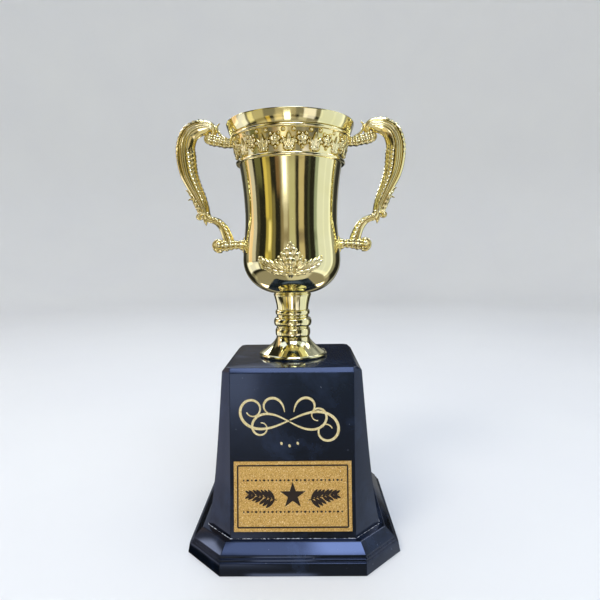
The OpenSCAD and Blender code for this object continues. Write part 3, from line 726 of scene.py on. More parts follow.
# %% Bowl
def bowl_r(z, inset=0.0):
    """Outer radius of the bowl at height z, or the inner wall's with an inset."""
    z = np.asarray(z, float)
    drop = np.clip((BULGE_Z - z) / (BULGE_Z - BOWL_Z - inset), 0, 1)
    ellipse = BULGE_CORE + (BULGE_R - BULGE_CORE - inset) * np.sqrt(1 - drop**2)
    sway = (1 - np.cos(math.pi * np.clip((z - BULGE_Z) / (WAIST_Z - BULGE_Z), 0, 1))) / 2
    lower = BULGE_R + (WAIST_R - BULGE_R) * sway
    open_up = np.clip((z - WAIST_Z) / (BAND_Z - WAIST_Z), 0, 1) ** 2
    side = lower + (SHOULDER_R - WAIST_R) * open_up
    under = SHOULDER_R + (UNDER_BAND_R - SHOULDER_R) * (z - BAND_Z) / (BAND_TOP - BAND_Z)
    return np.where(z < BULGE_Z, ellipse, np.where(z < BAND_Z, side, under) - inset)


def bowl_profile():
    """Seat, bulge, waist and side outside; shoulder, flare and lip; then the same way down inside."""
    swing = np.linspace(0, math.pi / 2, 60)
    low = BULGE_Z - (BULGE_Z - BOWL_Z - 0.4) * np.cos(swing)
    side = np.linspace(BULGE_Z, BAND_TOP, 140)[1:]
    out_z = np.concatenate([low, side])
    outside = np.stack([bowl_r(out_z), out_z], axis=1)
    lip = eased_corners([[UNDER_BAND_R, BAND_TOP], [FLARE_R - 0.2, BAND_TOP], [FLARE_R + 1.4, BAND_TOP + 3.4],
                         [LIP_R - 0.12, LIP_Z - 0.6], [LIP_R - 0.2, LIP_Z], [LIP_R - 1.2, LIP_Z],
                         [FLARE_R - 1.0, BAND_TOP + 4], [UNDER_BAND_R - BOWL_WALL, BAND_TOP + 1]],
                        [0.45, 1.5, 0.3, 0.3, 0.3, 1.5], 6)
    in_low = BULGE_Z - (BULGE_Z - BOWL_Z - FLOOR_T) * np.cos(swing)
    in_z = np.concatenate([in_low, np.linspace(BULGE_Z, BAND_TOP, 90)[1:]])[::-1]
    inside = np.stack([bowl_r(in_z, BOWL_WALL), in_z], axis=1)
    return np.concatenate([[[ROD_HOLE, BOWL_Z], [outside[0, 0], BOWL_Z]], outside, lip, inside,
                           [[ROD_HOLE, BOWL_Z + FLOOR_T]]])


make_piece("bowl_skin", [lathe(bowl_profile(), 288, closed=True)], GOLD, replaces=["bowl"],
           sharp=45)

# %% [markdown]
# ## Relief ornament
# A relief is a height over a flat pattern. Leaves and petals are small hills with a vein, and the
# pattern's height at a point is that of the highest hill there. The same hills serve the band
# under the lip and the sprays on the bulge, wrapped on to their surfaces.

# %% Leaf and bead hills
def leaf_hill(x, y, foot, tip, width, rise, vein, bend=0.0, blunt=1.0):
    """Height of a leaf from foot to tip. u runs along it and v across it, from -1 to 1 at its edge,
    which lies width/2 * sin(pi u^0.75)^blunt out, so a small blunt makes a round petal. The hill is
    a half ellipse across with a groove of depth vein in it, and bend bows the middle line."""
    foot, tip = np.asarray(foot, float), np.asarray(tip, float)
    along = tip - foot
    length = np.linalg.norm(along)
    along /= length
    dx, dy = x - foot[0], y - foot[1]
    u = (dx * along[0] + dy * along[1]) / length
    inside = np.clip(u, 0, 1)
    across = -dx * along[1] + dy * along[0] - bend * np.sin(math.pi * inside)
    reach = width / 2 * np.clip(np.sin(math.pi * inside**0.75), 0, 1) ** blunt + 1e-6
    v = across / reach
    hill = np.sqrt(np.clip(1 - v**2, 0, 1)) * (0.5 + 0.5 * np.sin(math.pi * inside**1.6))
    groove = vein * np.exp(-((v / 0.22) ** 2)) * np.sin(math.pi * inside) ** 0.5
    return np.where((u > 0) & (u < 1) & (np.abs(v) < 1), rise * np.clip(hill - groove, 0, 2), 0)


def dome(x, y, centre, radius, rise):
    """Height of a round pearl: a half sphere scaled to the given rise."""
    far = ((x - centre[0]) ** 2 + (y - centre[1]) ** 2) / radius**2
    return rise * np.sqrt(np.clip(1 - far, 0, 1))


def highest(*hills):
    """The highest of several hills at each point."""
    return np.maximum.reduce(hills)


def painted_corner_shade(height, reach):
    """Painted brightness of a relief: 0.5 on open ground, more on a crest, and less beside a hill, where
    shade falls, by how far a point lies under the mean height of the square of points around it."""
    mean = height.copy()
    for axis in (0, 1):
        mean = np.mean([np.roll(mean, k, axis=axis) for k in range(-reach, reach + 1)], axis=0)
    return np.clip(0.5 + 0.3 * height - 1.5 * np.clip(mean - height, 0, None), 0, 1)


# %% [markdown]
# The band repeats one motif fourteen times: a five-petalled flower ringed with pearls, and between
# flowers a fan of five pointed leaves.

# %% Ornament band
MOTIFS = 14
BEAD_R = 1.7
FACE_LOW, FACE_HIGH = BAND_Z + 2 * BEAD_R - 0.3, BAND_TOP - 2 * BEAD_R + 0.3
LOW_R, HIGH_R = bowl_r(BAND_Z) + 1.7, FLARE_R - 1.3
FAN = [(90, 11.8, 4.4), (55, 10.4, 3.8), (125, 10.4, 3.8), (16, 5.6, 3.0), (164, 5.6, 3.0)]  # degrees, length, width


def band_relief(x, y):
    """Height of the motif: x runs from -half to half a period, y over the face from 0 to its top."""
    mid = (FACE_HIGH - FACE_LOW) / 2
    side = math.pi * (LOW_R + HIGH_R) / MOTIFS
    hills = [0 * x * y, dome(x, y, (0, mid), 1.6, 1.25)]
    for k in range(5):
        a = math.radians(90 + 72 * k)
        hills.append(leaf_hill(x, y, (0.6 * math.cos(a), mid + 0.6 * math.sin(a)),
                               (4.4 * math.cos(a), mid + 4.4 * math.sin(a)), 3.4, 1.0, 0.12, blunt=0.55))
        b = a + math.radians(36)
        hills.append(dome(x, y, (4.9 * math.cos(b), mid + 4.9 * math.sin(b)), 1.1, 1.0))
    for s in (-1, 1):
        for angle, reach, wide in FAN:
            a = math.radians(angle)
            tip = (s * side / 2 + reach * math.cos(a) * 0.8, 1.4 + reach * math.sin(a))
            hills.append(leaf_hill(x, y, (s * side / 2, 1.4), tip, wide, 1.0, 0.2, blunt=0.8))
        hills += [dome(x, y, (s * side / 2, 1.9), 1.5, 1.2), dome(x, y, (s * 6.4, 2 * mid - 1.6), 1.2, 0.9)]
    return highest(*hills)


def band_grid(columns=1176, rows=66):
    """Beads below and above, the face between them leaning outwards, and the relief added to r."""
    a = np.linspace(0, 2 * math.pi, columns + 1)
    face = np.linspace(0, 1, rows)
    low = bead(LOW_R - 0.6, LOW_R + BEAD_R - 0.7, BAND_Z + 0.05, FACE_LOW, 14)
    high = bead(HIGH_R - 0.4, HIGH_R + BEAD_R - 0.3, FACE_HIGH, BAND_TOP - 0.02, 14)
    middle = np.stack([LOW_R - 0.3 + (HIGH_R - LOW_R) * face, FACE_LOW + (FACE_HIGH - FACE_LOW) * face], axis=1)
    back = np.array([[UNDER_BAND_R + 0.1, BAND_TOP - 0.02], [SHOULDER_R + 0.1, BAND_Z + 0.05]])
    profile = np.concatenate([low, middle, high, back, low[:1]])
    grid = lathe(profile, columns)
    period = 2 * math.pi / MOTIFS
    local = (np.mod(a, period) - period / 2)[None, :] * (LOW_R + HIGH_R) / 2
    height = 1.25 * band_relief(local, (face * (FACE_HIGH - FACE_LOW))[:, None])
    out = np.stack([np.sin(a), -np.cos(a), 0 * a], axis=1)
    rows_on = slice(len(low), len(low) + rows)
    grid[rows_on] += height[:, :, None] * out[None]
    # Painted shade: beads and back get 0.8, which leaves their tint as it is, and the face gets the painted corner
    # shade of its relief.
    relief = np.full(grid.shape[:2], 0.8)
    relief[rows_on] = painted_corner_shade(height, 4)
    grid[:, -1] = grid[:, 0]
    return grid, relief


band, band_painted_shade = band_grid()
make_piece("ornament_band_skin", [band], GOLD_PAINTED_SHADE, replaces=["ornament_band"],
           sharp=60, values=[band_painted_shade])

# %% [markdown]
# The spray on the bulge is a cone of small petals over a boss, with pearls down its sides, and two
# double branches of leaves that sweep out from it over a curved lower edge.

# %% Leaf sprays
SPRAY_LOW, SPRAY_HIGH, SPRAY_HALF = BOWL_Z + 14.3, BOWL_Z + 42.0, 28.0
SPRAY_LEAVES = [  # foot x and z, tip x and z, width, rise; the upper branch, then the lower one
    (5.0, 6.4, 12.4, 13.6, 4.2, 1.7), (9.0, 6.6, 16.6, 14.2, 4.0, 1.6), (13.0, 7.4, 20.4, 15.2, 3.8, 1.5),
    (17.0, 8.6, 24.0, 16.4, 3.6, 1.3), (20.4, 9.6, 27.0, 14.6, 3.0, 1.1),
    (2.0, 2.6, 10.4, 5.8, 4.2, 1.7), (7.0, 3.0, 15.6, 7.0, 4.0, 1.6), (12.0, 4.4, 20.6, 9.2, 3.6, 1.4),
    (17.0, 6.4, 25.2, 11.6, 3.2, 1.2),
]
SPRAY_BERRIES = [(25.6, 15.6, 1.0), (4.4, 5.4, 1.4), (9.4, 8.6, 1.2), (13.8, 9.8, 1.1), (18.4, 11.4, 1.0)]  # x, z, r


def spray_relief(x, z):
    """Height of the spray at x along the girth and z up it, both from the lower middle: a boss, a
    cone of petals in rows of 4, 3, 2 and 1 with pearls at its edge, and the leaves on either side."""
    hills = [dome(x, z, (0, 12.4), 3.3, 2.3), dome(x, z, (0, 26.0), 1.4, 1.7), dome(x, z, (0, 6.4), 2.3, 1.9),
             leaf_hill(x, z, (0, -0.3), (0, 6.6), 5.4, 1.8, 0.15)]
    for row in range(4):
        for k in range(4 - row):
            x_at, z_at = (k - (3 - row) / 2) * 5.0, 9.6 + 4.1 * row
            hills.append(leaf_hill(x, z, (x_at * 0.75, z_at - 1.6), (x_at * 1.08, z_at + 5.2), 4.9, 1.9, 0.2,
                                   blunt=0.5))
    for s in (-1, 1):
        hills += [dome(x, z, (s * (2.3 + 2.15 * k), 23.8 - 2.7 * k), 1.2, 1.6) for k in range(5)]
        hills += [leaf_hill(x, z, (s * x_foot, z_foot), (s * x_tip, z_tip), wide, rise, 0.2, -s * 0.8, blunt=0.7)
                  for x_foot, z_foot, x_tip, z_tip, wide, rise in SPRAY_LEAVES]
        hills += [dome(x, z, (s * x_at, z_at), r, r) for x_at, z_at, r in SPRAY_BERRIES]
    return highest(*hills)


def spray_grid(facing):
    """The pattern wrapped on the bulge: x becomes an angle, and the height is added outwards.
    Bare ground sinks a little below the bowl, so that only the leaves show."""
    z = np.linspace(SPRAY_LOW, SPRAY_HIGH, 170)[:, None]
    x = np.linspace(-SPRAY_HALF, SPRAY_HALF, 300)[None, :]
    height = spray_relief(x + 0 * z, z - SPRAY_LOW + 0 * x)
    sunk = np.where(height > 0.02, height, -0.6)
    angle = x / BULGE_R + (0 if facing < 0 else math.pi)
    slope = np.gradient(bowl_r(z[:, 0]), z[:, 0])[:, None]
    tilt = 1 / np.sqrt(1 + slope**2)
    r = bowl_r(z) + sunk * tilt
    front = np.stack([r * np.sin(angle), -r * np.cos(angle), z - sunk * slope * tilt], axis=2)
    base = bowl_r(z) - 1.2 + 0 * x
    back = np.stack([base * np.sin(angle), -base * np.cos(angle), z + 0 * x], axis=2)
    # Painted shade: the leaves get the corner shade of their relief, and the back, hidden in the bowl, the darkest
    # value.
    return [front, back], [painted_corner_shade(height, 5), np.zeros_like(height)]


for name, facing, node in (("front_spray_skin", -1, "front_spray"), ("rear_spray_skin", 1, "rear_spray")):
    grids, values = spray_grid(facing)
    # The edges between front and back get the darkest painted shade.
    rim = [np.stack([grids[0][k], grids[1][k]]) for k in (0, -1)]
    rim += [np.stack([grids[0][:, k], grids[1][:, k]]) for k in (0, -1)]
    make_piece(name, grids + rim, GOLD_PAINTED_SHADE, replaces=[node], sharp=70,
               values=values + [np.zeros(g.shape[:2]) for g in rim])

# %% [markdown]
# ## Handles
# Each handle is one moulding, a scroll that grows out of a leafy bracket under the lip, swells,
# thins to a knot, and bends back to a second bracket. It is built as sweeps: a section carried
# along a curve in the XZ plane. The section is an ellipse whose surface is raised by a relief in
# terms of s, the millimetres along the curve, and u, the place across it from the inner edge at
# -1 to the outer edge at 1.

# %% Sweep with relief
def sweep(line, thickness, relief, sides, per_span):
    """Carries an ellipse along line, whose rows are (x, z, half width). Its half width lies in the
    plane of the curve and half the thickness lies across it. relief(s, u, f) returns millimetres
    to add along the section's own normal, where f is the share of the front that a point faces,
    and a painted shade for each point."""
    run = curve_through(line, per_span)
    centre, half = run[:, :2], run[:, 2]
    ahead = np.gradient(centre, axis=0)
    ahead /= np.linalg.norm(ahead, axis=1, keepdims=True)
    side = np.stack([-ahead[:, 1], ahead[:, 0]], axis=1)
    s = np.concatenate([[0], np.cumsum(np.linalg.norm(np.diff(centre, axis=0), axis=1))])
    a = np.linspace(0, 2 * math.pi, sides + 1)[None, :]
    u, f = np.cos(a), np.sin(a)
    deep = np.minimum(thickness / 2, half * 1.25)[:, None]
    wide, out = half[:, None] * u, deep * f
    # Without a relief every point gets a painted shade of 0.8, which leaves the tint as it is.
    values = np.full((len(s), sides + 1), 0.8)
    if relief is not None:
        raised, values = relief(s[:, None] + 0 * a, u + 0 * s[:, None], np.abs(f) + 0 * s[:, None])
        normal_u, normal_f = u * deep, f * half[:, None]
        length = np.sqrt(normal_u**2 + normal_f**2) + 1e-9
        wide = wide + raised * normal_u / length
        out = out + raised * normal_f / length
    x = centre[:, 0][:, None] + side[:, 0][:, None] * wide
    z = centre[:, 1][:, None] + side[:, 1][:, None] * wide
    grid = np.stack([x, out, z], axis=2)
    grid[:, -1] = grid[:, 0]
    ends = [np.full((1, sides + 1), values[i].mean()) for i in (0, -1)]
    return close_poles(grid), np.concatenate([ends[0], values, ends[1]])


# %% [markdown]
# The main scroll carries four flutes that follow its curve. Small scales run along its outer edge
# over the crest, and a leaf with a notched edge lies along its inner side below the bend.

# %% Main scroll
SCROLL = [(66.0, 322.6, 1.8), (63.2, 323.8, 2.3), (62.2, 327.0, 3.0), (65.0, 329.6, 4.6), (70.2, 329.8, 6.2),
          (76.2, 328.6, 7.1), (82.4, 323.8, 7.6), (85.6, 314.2, 7.8), (85.4, 303.0, 7.8), (83.6, 292.5, 7.0),
          (79.9, 283.0, 5.9), (75.4, 273.6, 4.9), (71.9, 265.6, 4.2), (70.4, 259.5, 3.6)]
HANDLE_T = 9.4


def tooth(s, pitch):
    """A row of overlapping scales along s: each rises slowly and drops at once."""
    return np.mod(s / pitch, 1.0)


def scroll_relief(s, u, f):
    """Grooves lie at set places across u; scales fill the outer edge, pearls and a toothed leaf the
    inner one. Each has its own stretch of the length, t from 0 to 1."""
    t = s / s.max()
    fade = np.clip(t * 10, 0, 1) * np.clip((1 - t) * 12, 0, 1)
    height = 0.18 * np.cos(math.pi * 1.5 * u)
    for place in (-0.12, 0.14, 0.38, 0.6):
        height = height - 0.5 * fade * f * np.exp(-(((u - place) / 0.05) ** 2))
    crest = np.clip((u - 0.72) / 0.08, 0, 1) * np.clip((t - 0.12) * 14, 0, 1) * np.clip((0.55 - t) * 9, 0, 1)
    height = height + crest * 0.5 * (tooth(s + 2.0 * f, 3.2) - 0.3)
    grow = np.clip((t - 0.4) * 14, 0, 1) * np.clip((0.96 - t) * 10, 0, 1)
    pearls = np.abs(np.sin(math.pi * s / 3.7)) * np.exp(-(((u + 0.42) / 0.14) ** 2)) * f
    rim = np.clip((-0.62 - u) / 0.08, 0, 1) * (0.35 + 0.6 * tooth(s - 2.5 * f, 3.7))
    height = height + grow * (0.75 * pearls + rim - 0.3 * np.exp(-(((u + 0.2) / 0.06) ** 2)))
    # The second value is painted shade from the height: darker in the grooves, at full tint on flats and crests.
    return height, np.clip(0.55 + 0.9 * height, 0, 1)


# %% [markdown]
# Under the knot the lower limb bends back to the bowl. Its outer rib is smooth and its upper side
# is beaded. Both brackets are bundles of three or four ridges that spread where they meet the cup,
# and small volutes, thorns and a thin tendril finish the scroll.

# %% Limbs, brackets and small leaves
LOWER_LIMB = [(70.2, 261.5, 3.0), (68.2, 256.6, 3.0), (64.2, 255.2, 2.9), (60.0, 253.0, 3.3), (56.0, 248.2, 3.9),
              (53.8, 243.0, 4.3), (52.2, 238.0, 4.6), (51.6, 234.5, 4.0)]
UPPER_BRACKET = [(44.0, 317.0, 4.4), (48.5, 317.0, 3.4), (53.5, 317.3, 3.7), (58.5, 318.6, 3.9), (63.5, 319.8, 4.4),
                 (66.8, 320.4, 3.4)]
LOWER_BRACKET = [(36.6, 234.5, 6.2), (40.5, 234.5, 4.6), (44.5, 234.7, 3.5), (49.0, 234.6, 3.8), (54.0, 234.0, 4.4),
                 (58.0, 233.6, 4.2)]
TENDRIL = [(48.6, 318.8, 1.2), (52.4, 320.6, 1.3), (56.4, 323.4, 1.25), (59.0, 327.2, 1.1), (59.0, 331.0, 0.8),
           (57.2, 333.0, 0.45)]
THORNS = [[(79.8, 273.0, 1.9), (82.4, 276.0, 1.5), (84.4, 278.6, 0.9), (86.6, 279.8, 0.2)],
          [(77.0, 268.5, 2.2), (79.8, 271.6, 1.7), (82.4, 272.6, 1.0), (84.9, 271.6, 0.2)],
          [(71.5, 258.5, 2.2), (71.0, 254.6, 1.7), (70.4, 250.6, 0.2)]]
ROLLS = [  # volute's centre, radius, depth, start and sense; radius and depth of the knob in it
    ((66.2, 320.4), 4.7, 8.6, 2.2, -1, 2.3, 9.2), ((60.2, 234.6), 6.5, 8.6, -2.0, 1, 3.4, 9.4),
    ((75.9, 258.4), 3.4, 7.0, 3.4, 1, 1.7, 7.6)]
LUG_Z = 234.5
OUTER_LEAF = [(83.0, 277.2, 1.2), (80.0, 273.6, 2.4), (77.4, 268.2, 2.7), (75.2, 263.2, 2.5), (74.2, 259.2, 2.0)]


def limb_relief(s, u, f):
    """Beads along the upper side, a groove, and a smooth rib along the lower side."""
    beads = np.exp(-(((u + 0.42) / 0.26) ** 2)) * np.abs(np.sin(math.pi * s / 3.6)) * 1.3
    groove = -0.5 * np.exp(-(((u - 0.05) / 0.09) ** 2)) * f
    height = 0.7 * beads + groove
    # The second value is painted shade from the height: darker in the groove.
    return height, np.clip(0.45 + 0.8 * height, 0, 1)


def ridges(count, depth, swirl=0.0):
    """Returns a relief with rounded ridges along the sweep, which drift across it with swirl, and painted shade that
    darkens the troughs between them.
    """
    def relief(s, u, f):
        wave = depth * np.abs(np.sin(math.pi * count * (u + 1) / 2 + swirl * s))
        lumps = 0.35 * depth * np.sin(2 * math.pi * s / 4.2)
        height = wave * np.clip(1.5 * f, 0, 1) + lumps
        return height, np.clip(0.2 + 0.7 * height / depth, 0, 1)
    return relief


def volute(centre, radius, depth, start, sign, turns=1.6):
    """A rolled leaf end: a tube that winds in on a spiral, r = 0.72 radius (1 - t)^0.8, about centre.
    It sets out at the angle start and turns left or right by sign."""
    t = np.linspace(0, 1, 18)
    angle = start + sign * 2 * math.pi * turns * t
    r = radius * (1 - t) ** 0.8 * 0.72
    half = radius * (0.34 - 0.12 * t)
    line = np.stack([centre[0] + r * np.cos(angle), centre[1] + r * np.sin(angle), half], axis=1)
    return sweep(line, depth, ridges(2, 0.18), sides=24, per_span=4)


def knob(centre, radius, depth):
    """A round button that fills the middle of a volute: an ellipsoid with a dimpled surface, and painted shade that
    darkens towards its rim.
    """
    a = np.linspace(0, 2 * math.pi, 37)[None, :]
    b = np.linspace(-math.pi / 2, math.pi / 2, 25)[:, None]
    r = 1 + 0.06 * np.sin(5 * a) * np.cos(b) ** 2
    x = centre[0] + radius * r * np.cos(b) * np.cos(a)
    z = centre[1] + radius * r * np.cos(b) * np.sin(a)
    y = depth / 2 * np.sin(b) + 0 * a
    grid = np.stack([x, y, z], axis=2)
    grid[:, -1] = grid[:, 0]
    return grid, 0.35 + 0.5 * np.abs(np.sin(b)) + 0 * a


def wall_flange():
    """A leafy washer on the bowl where the lower bracket lands: a dome with ten soft lobes, and painted shade that
    darkens towards its edge and most on its back.
    """
    a = np.linspace(0, 2 * math.pi, 81)[None, :]
    q = np.linspace(0, 1, 16)[:, None]
    reach = 6.6 * q * (1 + 0.1 * q * np.cos(10 * a))
    y, z = reach * np.cos(a), LUG_Z + reach * np.sin(a)
    wall = np.sqrt(np.clip(bowl_r(z) ** 2 - y**2, 1, None))
    x = wall + 1.9 * np.sqrt(np.clip(1 - q**2, 0, 1)) * (1 + 0.12 * q * np.cos(10 * a)) - 0.25
    front = np.stack([x, y, z], axis=2)
    back = np.stack([wall[::-1] - 0.6, y[::-1], z[::-1]], axis=2)
    grid = np.concatenate([front, back])
    grid[:, -1] = grid[:, 0]
    return grid, np.concatenate([0.4 + 0.5 * (1 - q) + 0 * a, 0.2 + 0 * q + 0 * a])


def handle_parts():
    """All the sweeps of the right-hand handle, each with its painted shade."""
    parts = [sweep(SCROLL, HANDLE_T, scroll_relief, sides=120, per_span=22),
             sweep(LOWER_LIMB, 7.4, limb_relief, sides=64, per_span=16),
             sweep(UPPER_BRACKET, 7.8, ridges(4, 0.8, 0.03), sides=64, per_span=16),
             sweep(LOWER_BRACKET, 7.6, ridges(3, 0.9), sides=64, per_span=16),
             sweep(TENDRIL, 2.8, None, sides=20, per_span=10),
             sweep(OUTER_LEAF, 6.0, ridges(3, 0.5, 0.1), sides=40, per_span=14)]
    parts += [sweep(line, 3.0, ridges(2, 0.15), sides=20, per_span=8) for line in THORNS]
    for centre, radius, depth, start, sign, knob_r, knob_depth in ROLLS:
        parts += [volute(centre, radius, depth, start, sign), knob(centre, knob_r, knob_depth)]
    return parts + [wall_flange()]


parts = handle_parts()
for name, mirror, node in (("handle_right_skin", 1, "handle_right"), ("handle_left_skin", -1, "handle_left")):
    make_piece(name, [grid * [mirror, 1, 1] for grid, _ in parts], GOLD_PAINTED_SHADE, replaces=[node],
               sharp=60, values=[value for _, value in parts])

# %% [markdown]
# ## Studio
# The floor and its cove are pale and plain, and an even sky lights them, with three soft boxes
# above for shadows. A mirror shows its room, though, so the cup gets a room of its own: a wide
# sphere of cards round the studio, which only reflections see. Each card is a soft-edged patch of
# light given by its directions: azimuth 0 is the camera's side, 90 the right, and elevation 0 is
# level. A card is added where s(a - a0) s(a1 - a) s(e - e0) s(e1 - e) is above 0, with s an S-curve.

# %% Floor and sky
def cove_profile():
    """Flat floor to 2.1 m out, a quarter round of 0.9 m, and a wall. The floor lies a hair low, so
    that it never shares a plane with the felt."""
    low, flat, round_r, wall_top = -0.05, 2100, 900, 2600
    a = np.linspace(0, math.pi / 2, 16)
    bend = np.stack([flat + round_r * np.sin(a), round_r * (1 - np.cos(a)) + low], axis=1)
    return np.concatenate([[[0, low], [300, low], [900, low]], bend, [[flat + round_r, wall_top]]])


FLOOR = plain("matt vinyl, pale grey", "#E4E4E2", "#E7E7E4", 300.0, 0.7)


def studio_mesh(name, grid, material):
    """A mesh of the room, which is not part of the cup."""
    mesh = bpy.data.meshes.new(name)
    mesh.from_pydata((grid.reshape(-1, 3) * MM).tolist(), [], grid_quads(*grid.shape[:2]).tolist())
    mesh.materials.append(material)
    mesh.shade_smooth()
    thing = bpy.data.objects.new(name, mesh)
    bpy.context.scene.collection.objects.link(thing)
    return thing


cove = studio_mesh("studio_floor", lathe(cove_profile(), 96), FLOOR)
cove.visible_glossy = False
world = bpy.data.worlds.new("studio sky")
bpy.context.scene.world = world
world.use_nodes = True
world.node_tree.nodes["Background"].inputs["Color"].default_value = linear("#EDF0F4")
world.node_tree.nodes["Background"].inputs["Strength"].default_value = 0.9

# %% [markdown]
# The card table starts with the table top and what lies on it. Then come the strips that stand
# round the room from left to right: warm and white ones, a gold curtain, the beige middle with a
# lamp's hot spot, narrow dark gaps, and the wide window on the right. The last cards are the
# ceiling, small lamps, and what stands behind the cup.

# %% Cards
CARDS = [  # azimuth from, to, elevation from, to, colour, glow, softness in degrees
    (-200, 200, -95, -30, "#C9BFA8", 0.5, 6), (-95, 60, -22, -9, "#D8D0B8", 0.32, 5),
    (-130, -80, 0, 12, "#CFC8A8", 0.1, 4), (-200, -112, 2, 16, "#B8BCC4", 0.06, 8),
    (112, 200, 2, 16, "#9AA2B4", 0.05, 8), (-132, -116, -34, 40, "#B9B39A", 0.35, 4),
    (-119, -104, -8, 46, "#FFD9B0", 0.95, 3), (-128, -83, -22, -4, "#F4F2F6", 1, 3),
    (-104, -91, -3, 46, "#E9E2DC", 0.72, 3), (-84, -68, -9, 0, "#A8A86A", 0.3, 3),
    (-78, -67, -24, -9, "#EFE2A8", 0.85, 3), (-44, -36, -36, -20, "#E0BC48", 0.8, 3),
    (-66, -46, -36, -8, "#D8C890", 0.45, 4), (-62, -45, -6, 52, "#D9C468", 0.62, 3),
    (-62, -54, -8, 6, "#E8C860", 0.35, 3), (-55, -48, 8, 26, "#FFF0B4", 0.6, 3), (-44, -37, 0, 52, "#B7AA70", 0.4, 3),
    (-32, -24, -13, 0, "#C89A68", 0.32, 3), (-28, -12, -36, -20, "#F0DDB0", 0.6, 4),
    (-24, 12, -34, 58, "#C9B68E", 0.42, 5), (-21, -10, 8, 40, "#8A7A50", 0.06, 4),
    (-17, -7, -10, 14, "#FFFBEF", 0.3, 4), (-20, -4, -13, 2, "#FFFDF6", 0.55, 6),
    (-16, -9, -9, -1, "#FFFDF6", 1.5, 5), (-9, 2, -36, -19, "#FFFDF6", 3, 3), (18, 34, -36, -20, "#F0E8D0", 0.35, 4),
    (-4, 11, -8, 40, "#D9E0B8", 0.42, 5), (19, 32, -8, 14, "#E8D8A0", 0.4, 3), (19, 32, -8, 44, "#CDB795", 0.4, 3),
    (26, 48, -30, -12, "#F2ECF4", 0.95, 3), (41, 46, -8, 30, "#B4C79E", 0.08, 2),
    (58, 66, -8, 14, "#E1F0DC", 0.45, 3), (66, 112, -38, 36, "#F1F6F0", 0.92, 3),
    (57, 66, -38, -8, "#F1F6F0", 0.92, 3), (84, 88, -38, 36, "#F1F6F4", 0.1, 2),
    (105, 125, -38, 30, "#E4E2C8", 0.4, 8), (-20, 60, -75, -40, "#F4EFE0", 0.4, 10),
    (-200, 200, 76, 95, "#E2ECFF", 5.5, 6), (-24, 32, 50, 67, "#DCE8FF", 4.4, 5), (3, 32, 50, 67, "#DCE8FF", 8, 8),
    (32, 75, 44, 66, "#E8F0DC", 0.5, 6), (80, 155, 34, 66, "#DDE4E8", 0.4, 8),
    (-180, -146, 14, 58, "#E6ECF0", 0.75, 6), (146, 180, 52, 80, "#E8ECEA", 0.65, 6),
    (138, 165, 12, 46, "#BCC4C8", 0.28, 8), (-146, -100, 60, 84, "#D8CFA8", 0.4, 8),
    (-195, -165, 60, 74, "#DCE8FF", 3, 6), (165, 195, 60, 74, "#DCE8FF", 3, 6),
    (-108, -62, 44, 66, "#DCE6FF", 1.4, 8), (75, 108, 44, 66, "#DCE6FF", 1.4, 8),
    (-155, -143, 24, 35, "#FFFDF6", 8, 4), (112, 126, 38, 50, "#FFFDF6", 8, 4), (-100, -91, 18, 28, "#FFFDF6", 5, 3),
    (-152, -138, -50, -38, "#FFF4E0", 4, 4), (138, 152, -50, -38, "#FFF4E0", 4, 4),
    (152, 166, -24, 40, "#D8D8CC", 0.45, 5), (-180, -168, -24, 12, "#C8BE9C", 0.22, 6),
    (-163, -157, -24, 30, "#E8DFC0", 0.4, 3),
]
DARK_ROOM = "#292822"
DAYLIGHT = np.array([0.98, 1.0, 1.18])  # the blue lean of the room's light, as red, green and blue
ROOM_R, ROOM_MID = 6000, 250


def s_curve(x, soft):
    """0 below -soft/2, 1 above soft/2, and 3t^2 - 2t^3 between."""
    t = np.clip(x / soft + 0.5, 0, 1)
    return t * t * (3 - 2 * t)


def card_room():
    """The sphere as a grid over azimuth and elevation, and the light of each of its points."""
    azimuth, elevation = np.arange(-180, 180.5, 0.5)[None, :], np.arange(-90, 90.5, 0.75)[:, None]
    a, e = np.radians(azimuth), np.radians(elevation)
    grid = np.stack([ROOM_R * np.cos(e) * np.sin(a), -ROOM_R * np.cos(e) * np.cos(a),
                     ROOM_MID + ROOM_R * np.sin(e) + 0 * a], axis=2)
    light = np.zeros((*grid.shape[:2], 3)) + np.array(linear(DARK_ROOM)[:3])
    for a0, a1, e0, e1, colour, glow, soft in CARDS:
        share = (s_curve(azimuth - a0, soft) * s_curve(a1 - azimuth, soft)
                 * s_curve(elevation - e0, soft) * s_curve(e1 - elevation, soft))
        light += share[:, :, None] * glow * np.array(linear(colour)[:3])
    return grid, light * DAYLIGHT


def card_material():
    """Emission in the colour of the attribute called light."""
    material = bpy.data.materials.new("studio cards")
    material.use_nodes = True
    tree = material.node_tree
    tree.nodes.clear()
    colour = add(tree, "ShaderNodeAttribute", attribute_name="light")
    glow = add(tree, "ShaderNodeEmission", links={"Color": (colour, "Color")})
    add(tree, "ShaderNodeOutputMaterial", links={"Surface": (glow, "Emission")})
    material.cycles.emission_sampling = "NONE"
    return material


room_grid, room_light = card_room()
room = studio_mesh("studio_cards", room_grid, card_material())
layer = room.data.attributes.new("light", "FLOAT_COLOR", "POINT")
layer.data.foreach_set("color", np.concatenate([room_light, np.ones_like(room_light[:, :, :1])], axis=2).ravel())
room.visible_camera = room.visible_diffuse = room.visible_transmission = room.visible_shadow = False
print("cards", len(CARDS))


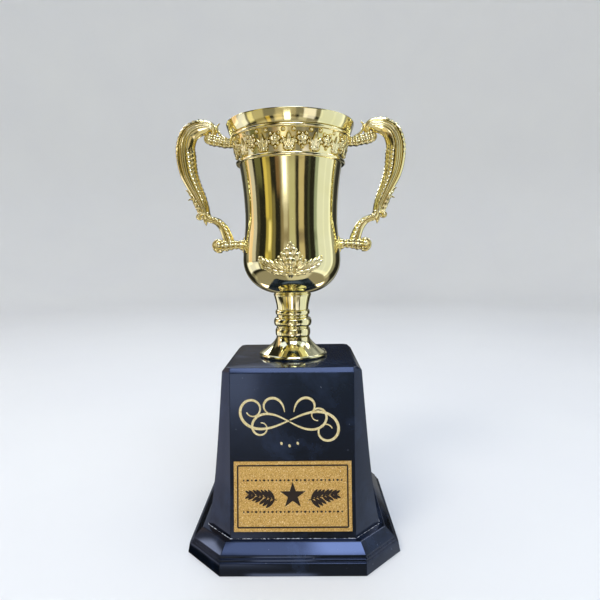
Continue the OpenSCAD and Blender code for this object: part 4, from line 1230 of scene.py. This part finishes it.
# %% Soft boxes
def soft_box(name, location, aim, size, colour, watts):
    """A square area light turned so that its -Z points from its location to aim."""
    light = bpy.data.lights.new(name, "AREA")
    light.shape, light.size, light.energy = "SQUARE", size, watts
    light.color = linear(colour)[:3]
    lamp = bpy.data.objects.new(name, light)
    lamp.location = location
    lamp.rotation_euler = (Vector(aim) - Vector(location)).to_track_quat("-Z", "Y").to_euler()
    lamp.visible_glossy = False
    bpy.context.scene.collection.objects.link(lamp)
    return lamp


soft_box("soft_box_key", (-0.9, -1.1, 1.7), (0, 0, 0.15), 0.7, "#FFF8EE", 14)
soft_box("soft_box_ceiling", (0.24, -0.72, 1.65), (0, 0, 0), 0.9, "#CFE0FF", 12)
soft_box("soft_box_rear", (-0.1, 0.75, 1.65), (0, 0, 0), 0.7, "#DCE8FF", 4)

# %% [markdown]
# The plain display curve keeps white white and mirrors crisp.

# %% Display curve
bpy.context.scene.view_settings.view_transform = "Standard"

# %% [markdown]
# ## Camera
# The camera stands 0.4 m in front, a little above the bowl's foot, and looks slightly down, with
# the lens of a phone. Its three axes are worked out from a yaw, a pitch and a roll.

# %% Camera
CAMERA_AT = (11.5, -403.1, 222.9)
YAW, PITCH, ROLL = -0.0130, -0.0858, -0.0125
SENSOR_MM, LENS_MM = 36.0, 29.01


def camera_axes():
    """Forward from yaw and pitch, right level with the floor, up from the two, then the roll."""
    forward = Vector((math.sin(YAW) * math.cos(PITCH), math.cos(YAW) * math.cos(PITCH), math.sin(PITCH)))
    right = forward.cross(Vector((0, 0, 1))).normalized()
    up = right.cross(forward)
    c, s = math.cos(ROLL), math.sin(ROLL)
    return c * right + s * up, c * up - s * right, forward


right, up, forward = camera_axes()
camera = bpy.data.objects.new("camera", bpy.data.cameras.new("camera"))
camera.data.sensor_width = SENSOR_MM
camera.data.lens = LENS_MM
place = Matrix((right, up, -forward)).transposed().to_4x4()
place.translation = Vector(CAMERA_AT) * MM
camera.matrix_world = place
bpy.context.scene.collection.objects.link(camera)
bpy.context.scene.camera = camera
print("lens", round(camera.data.lens, 2), "mm")
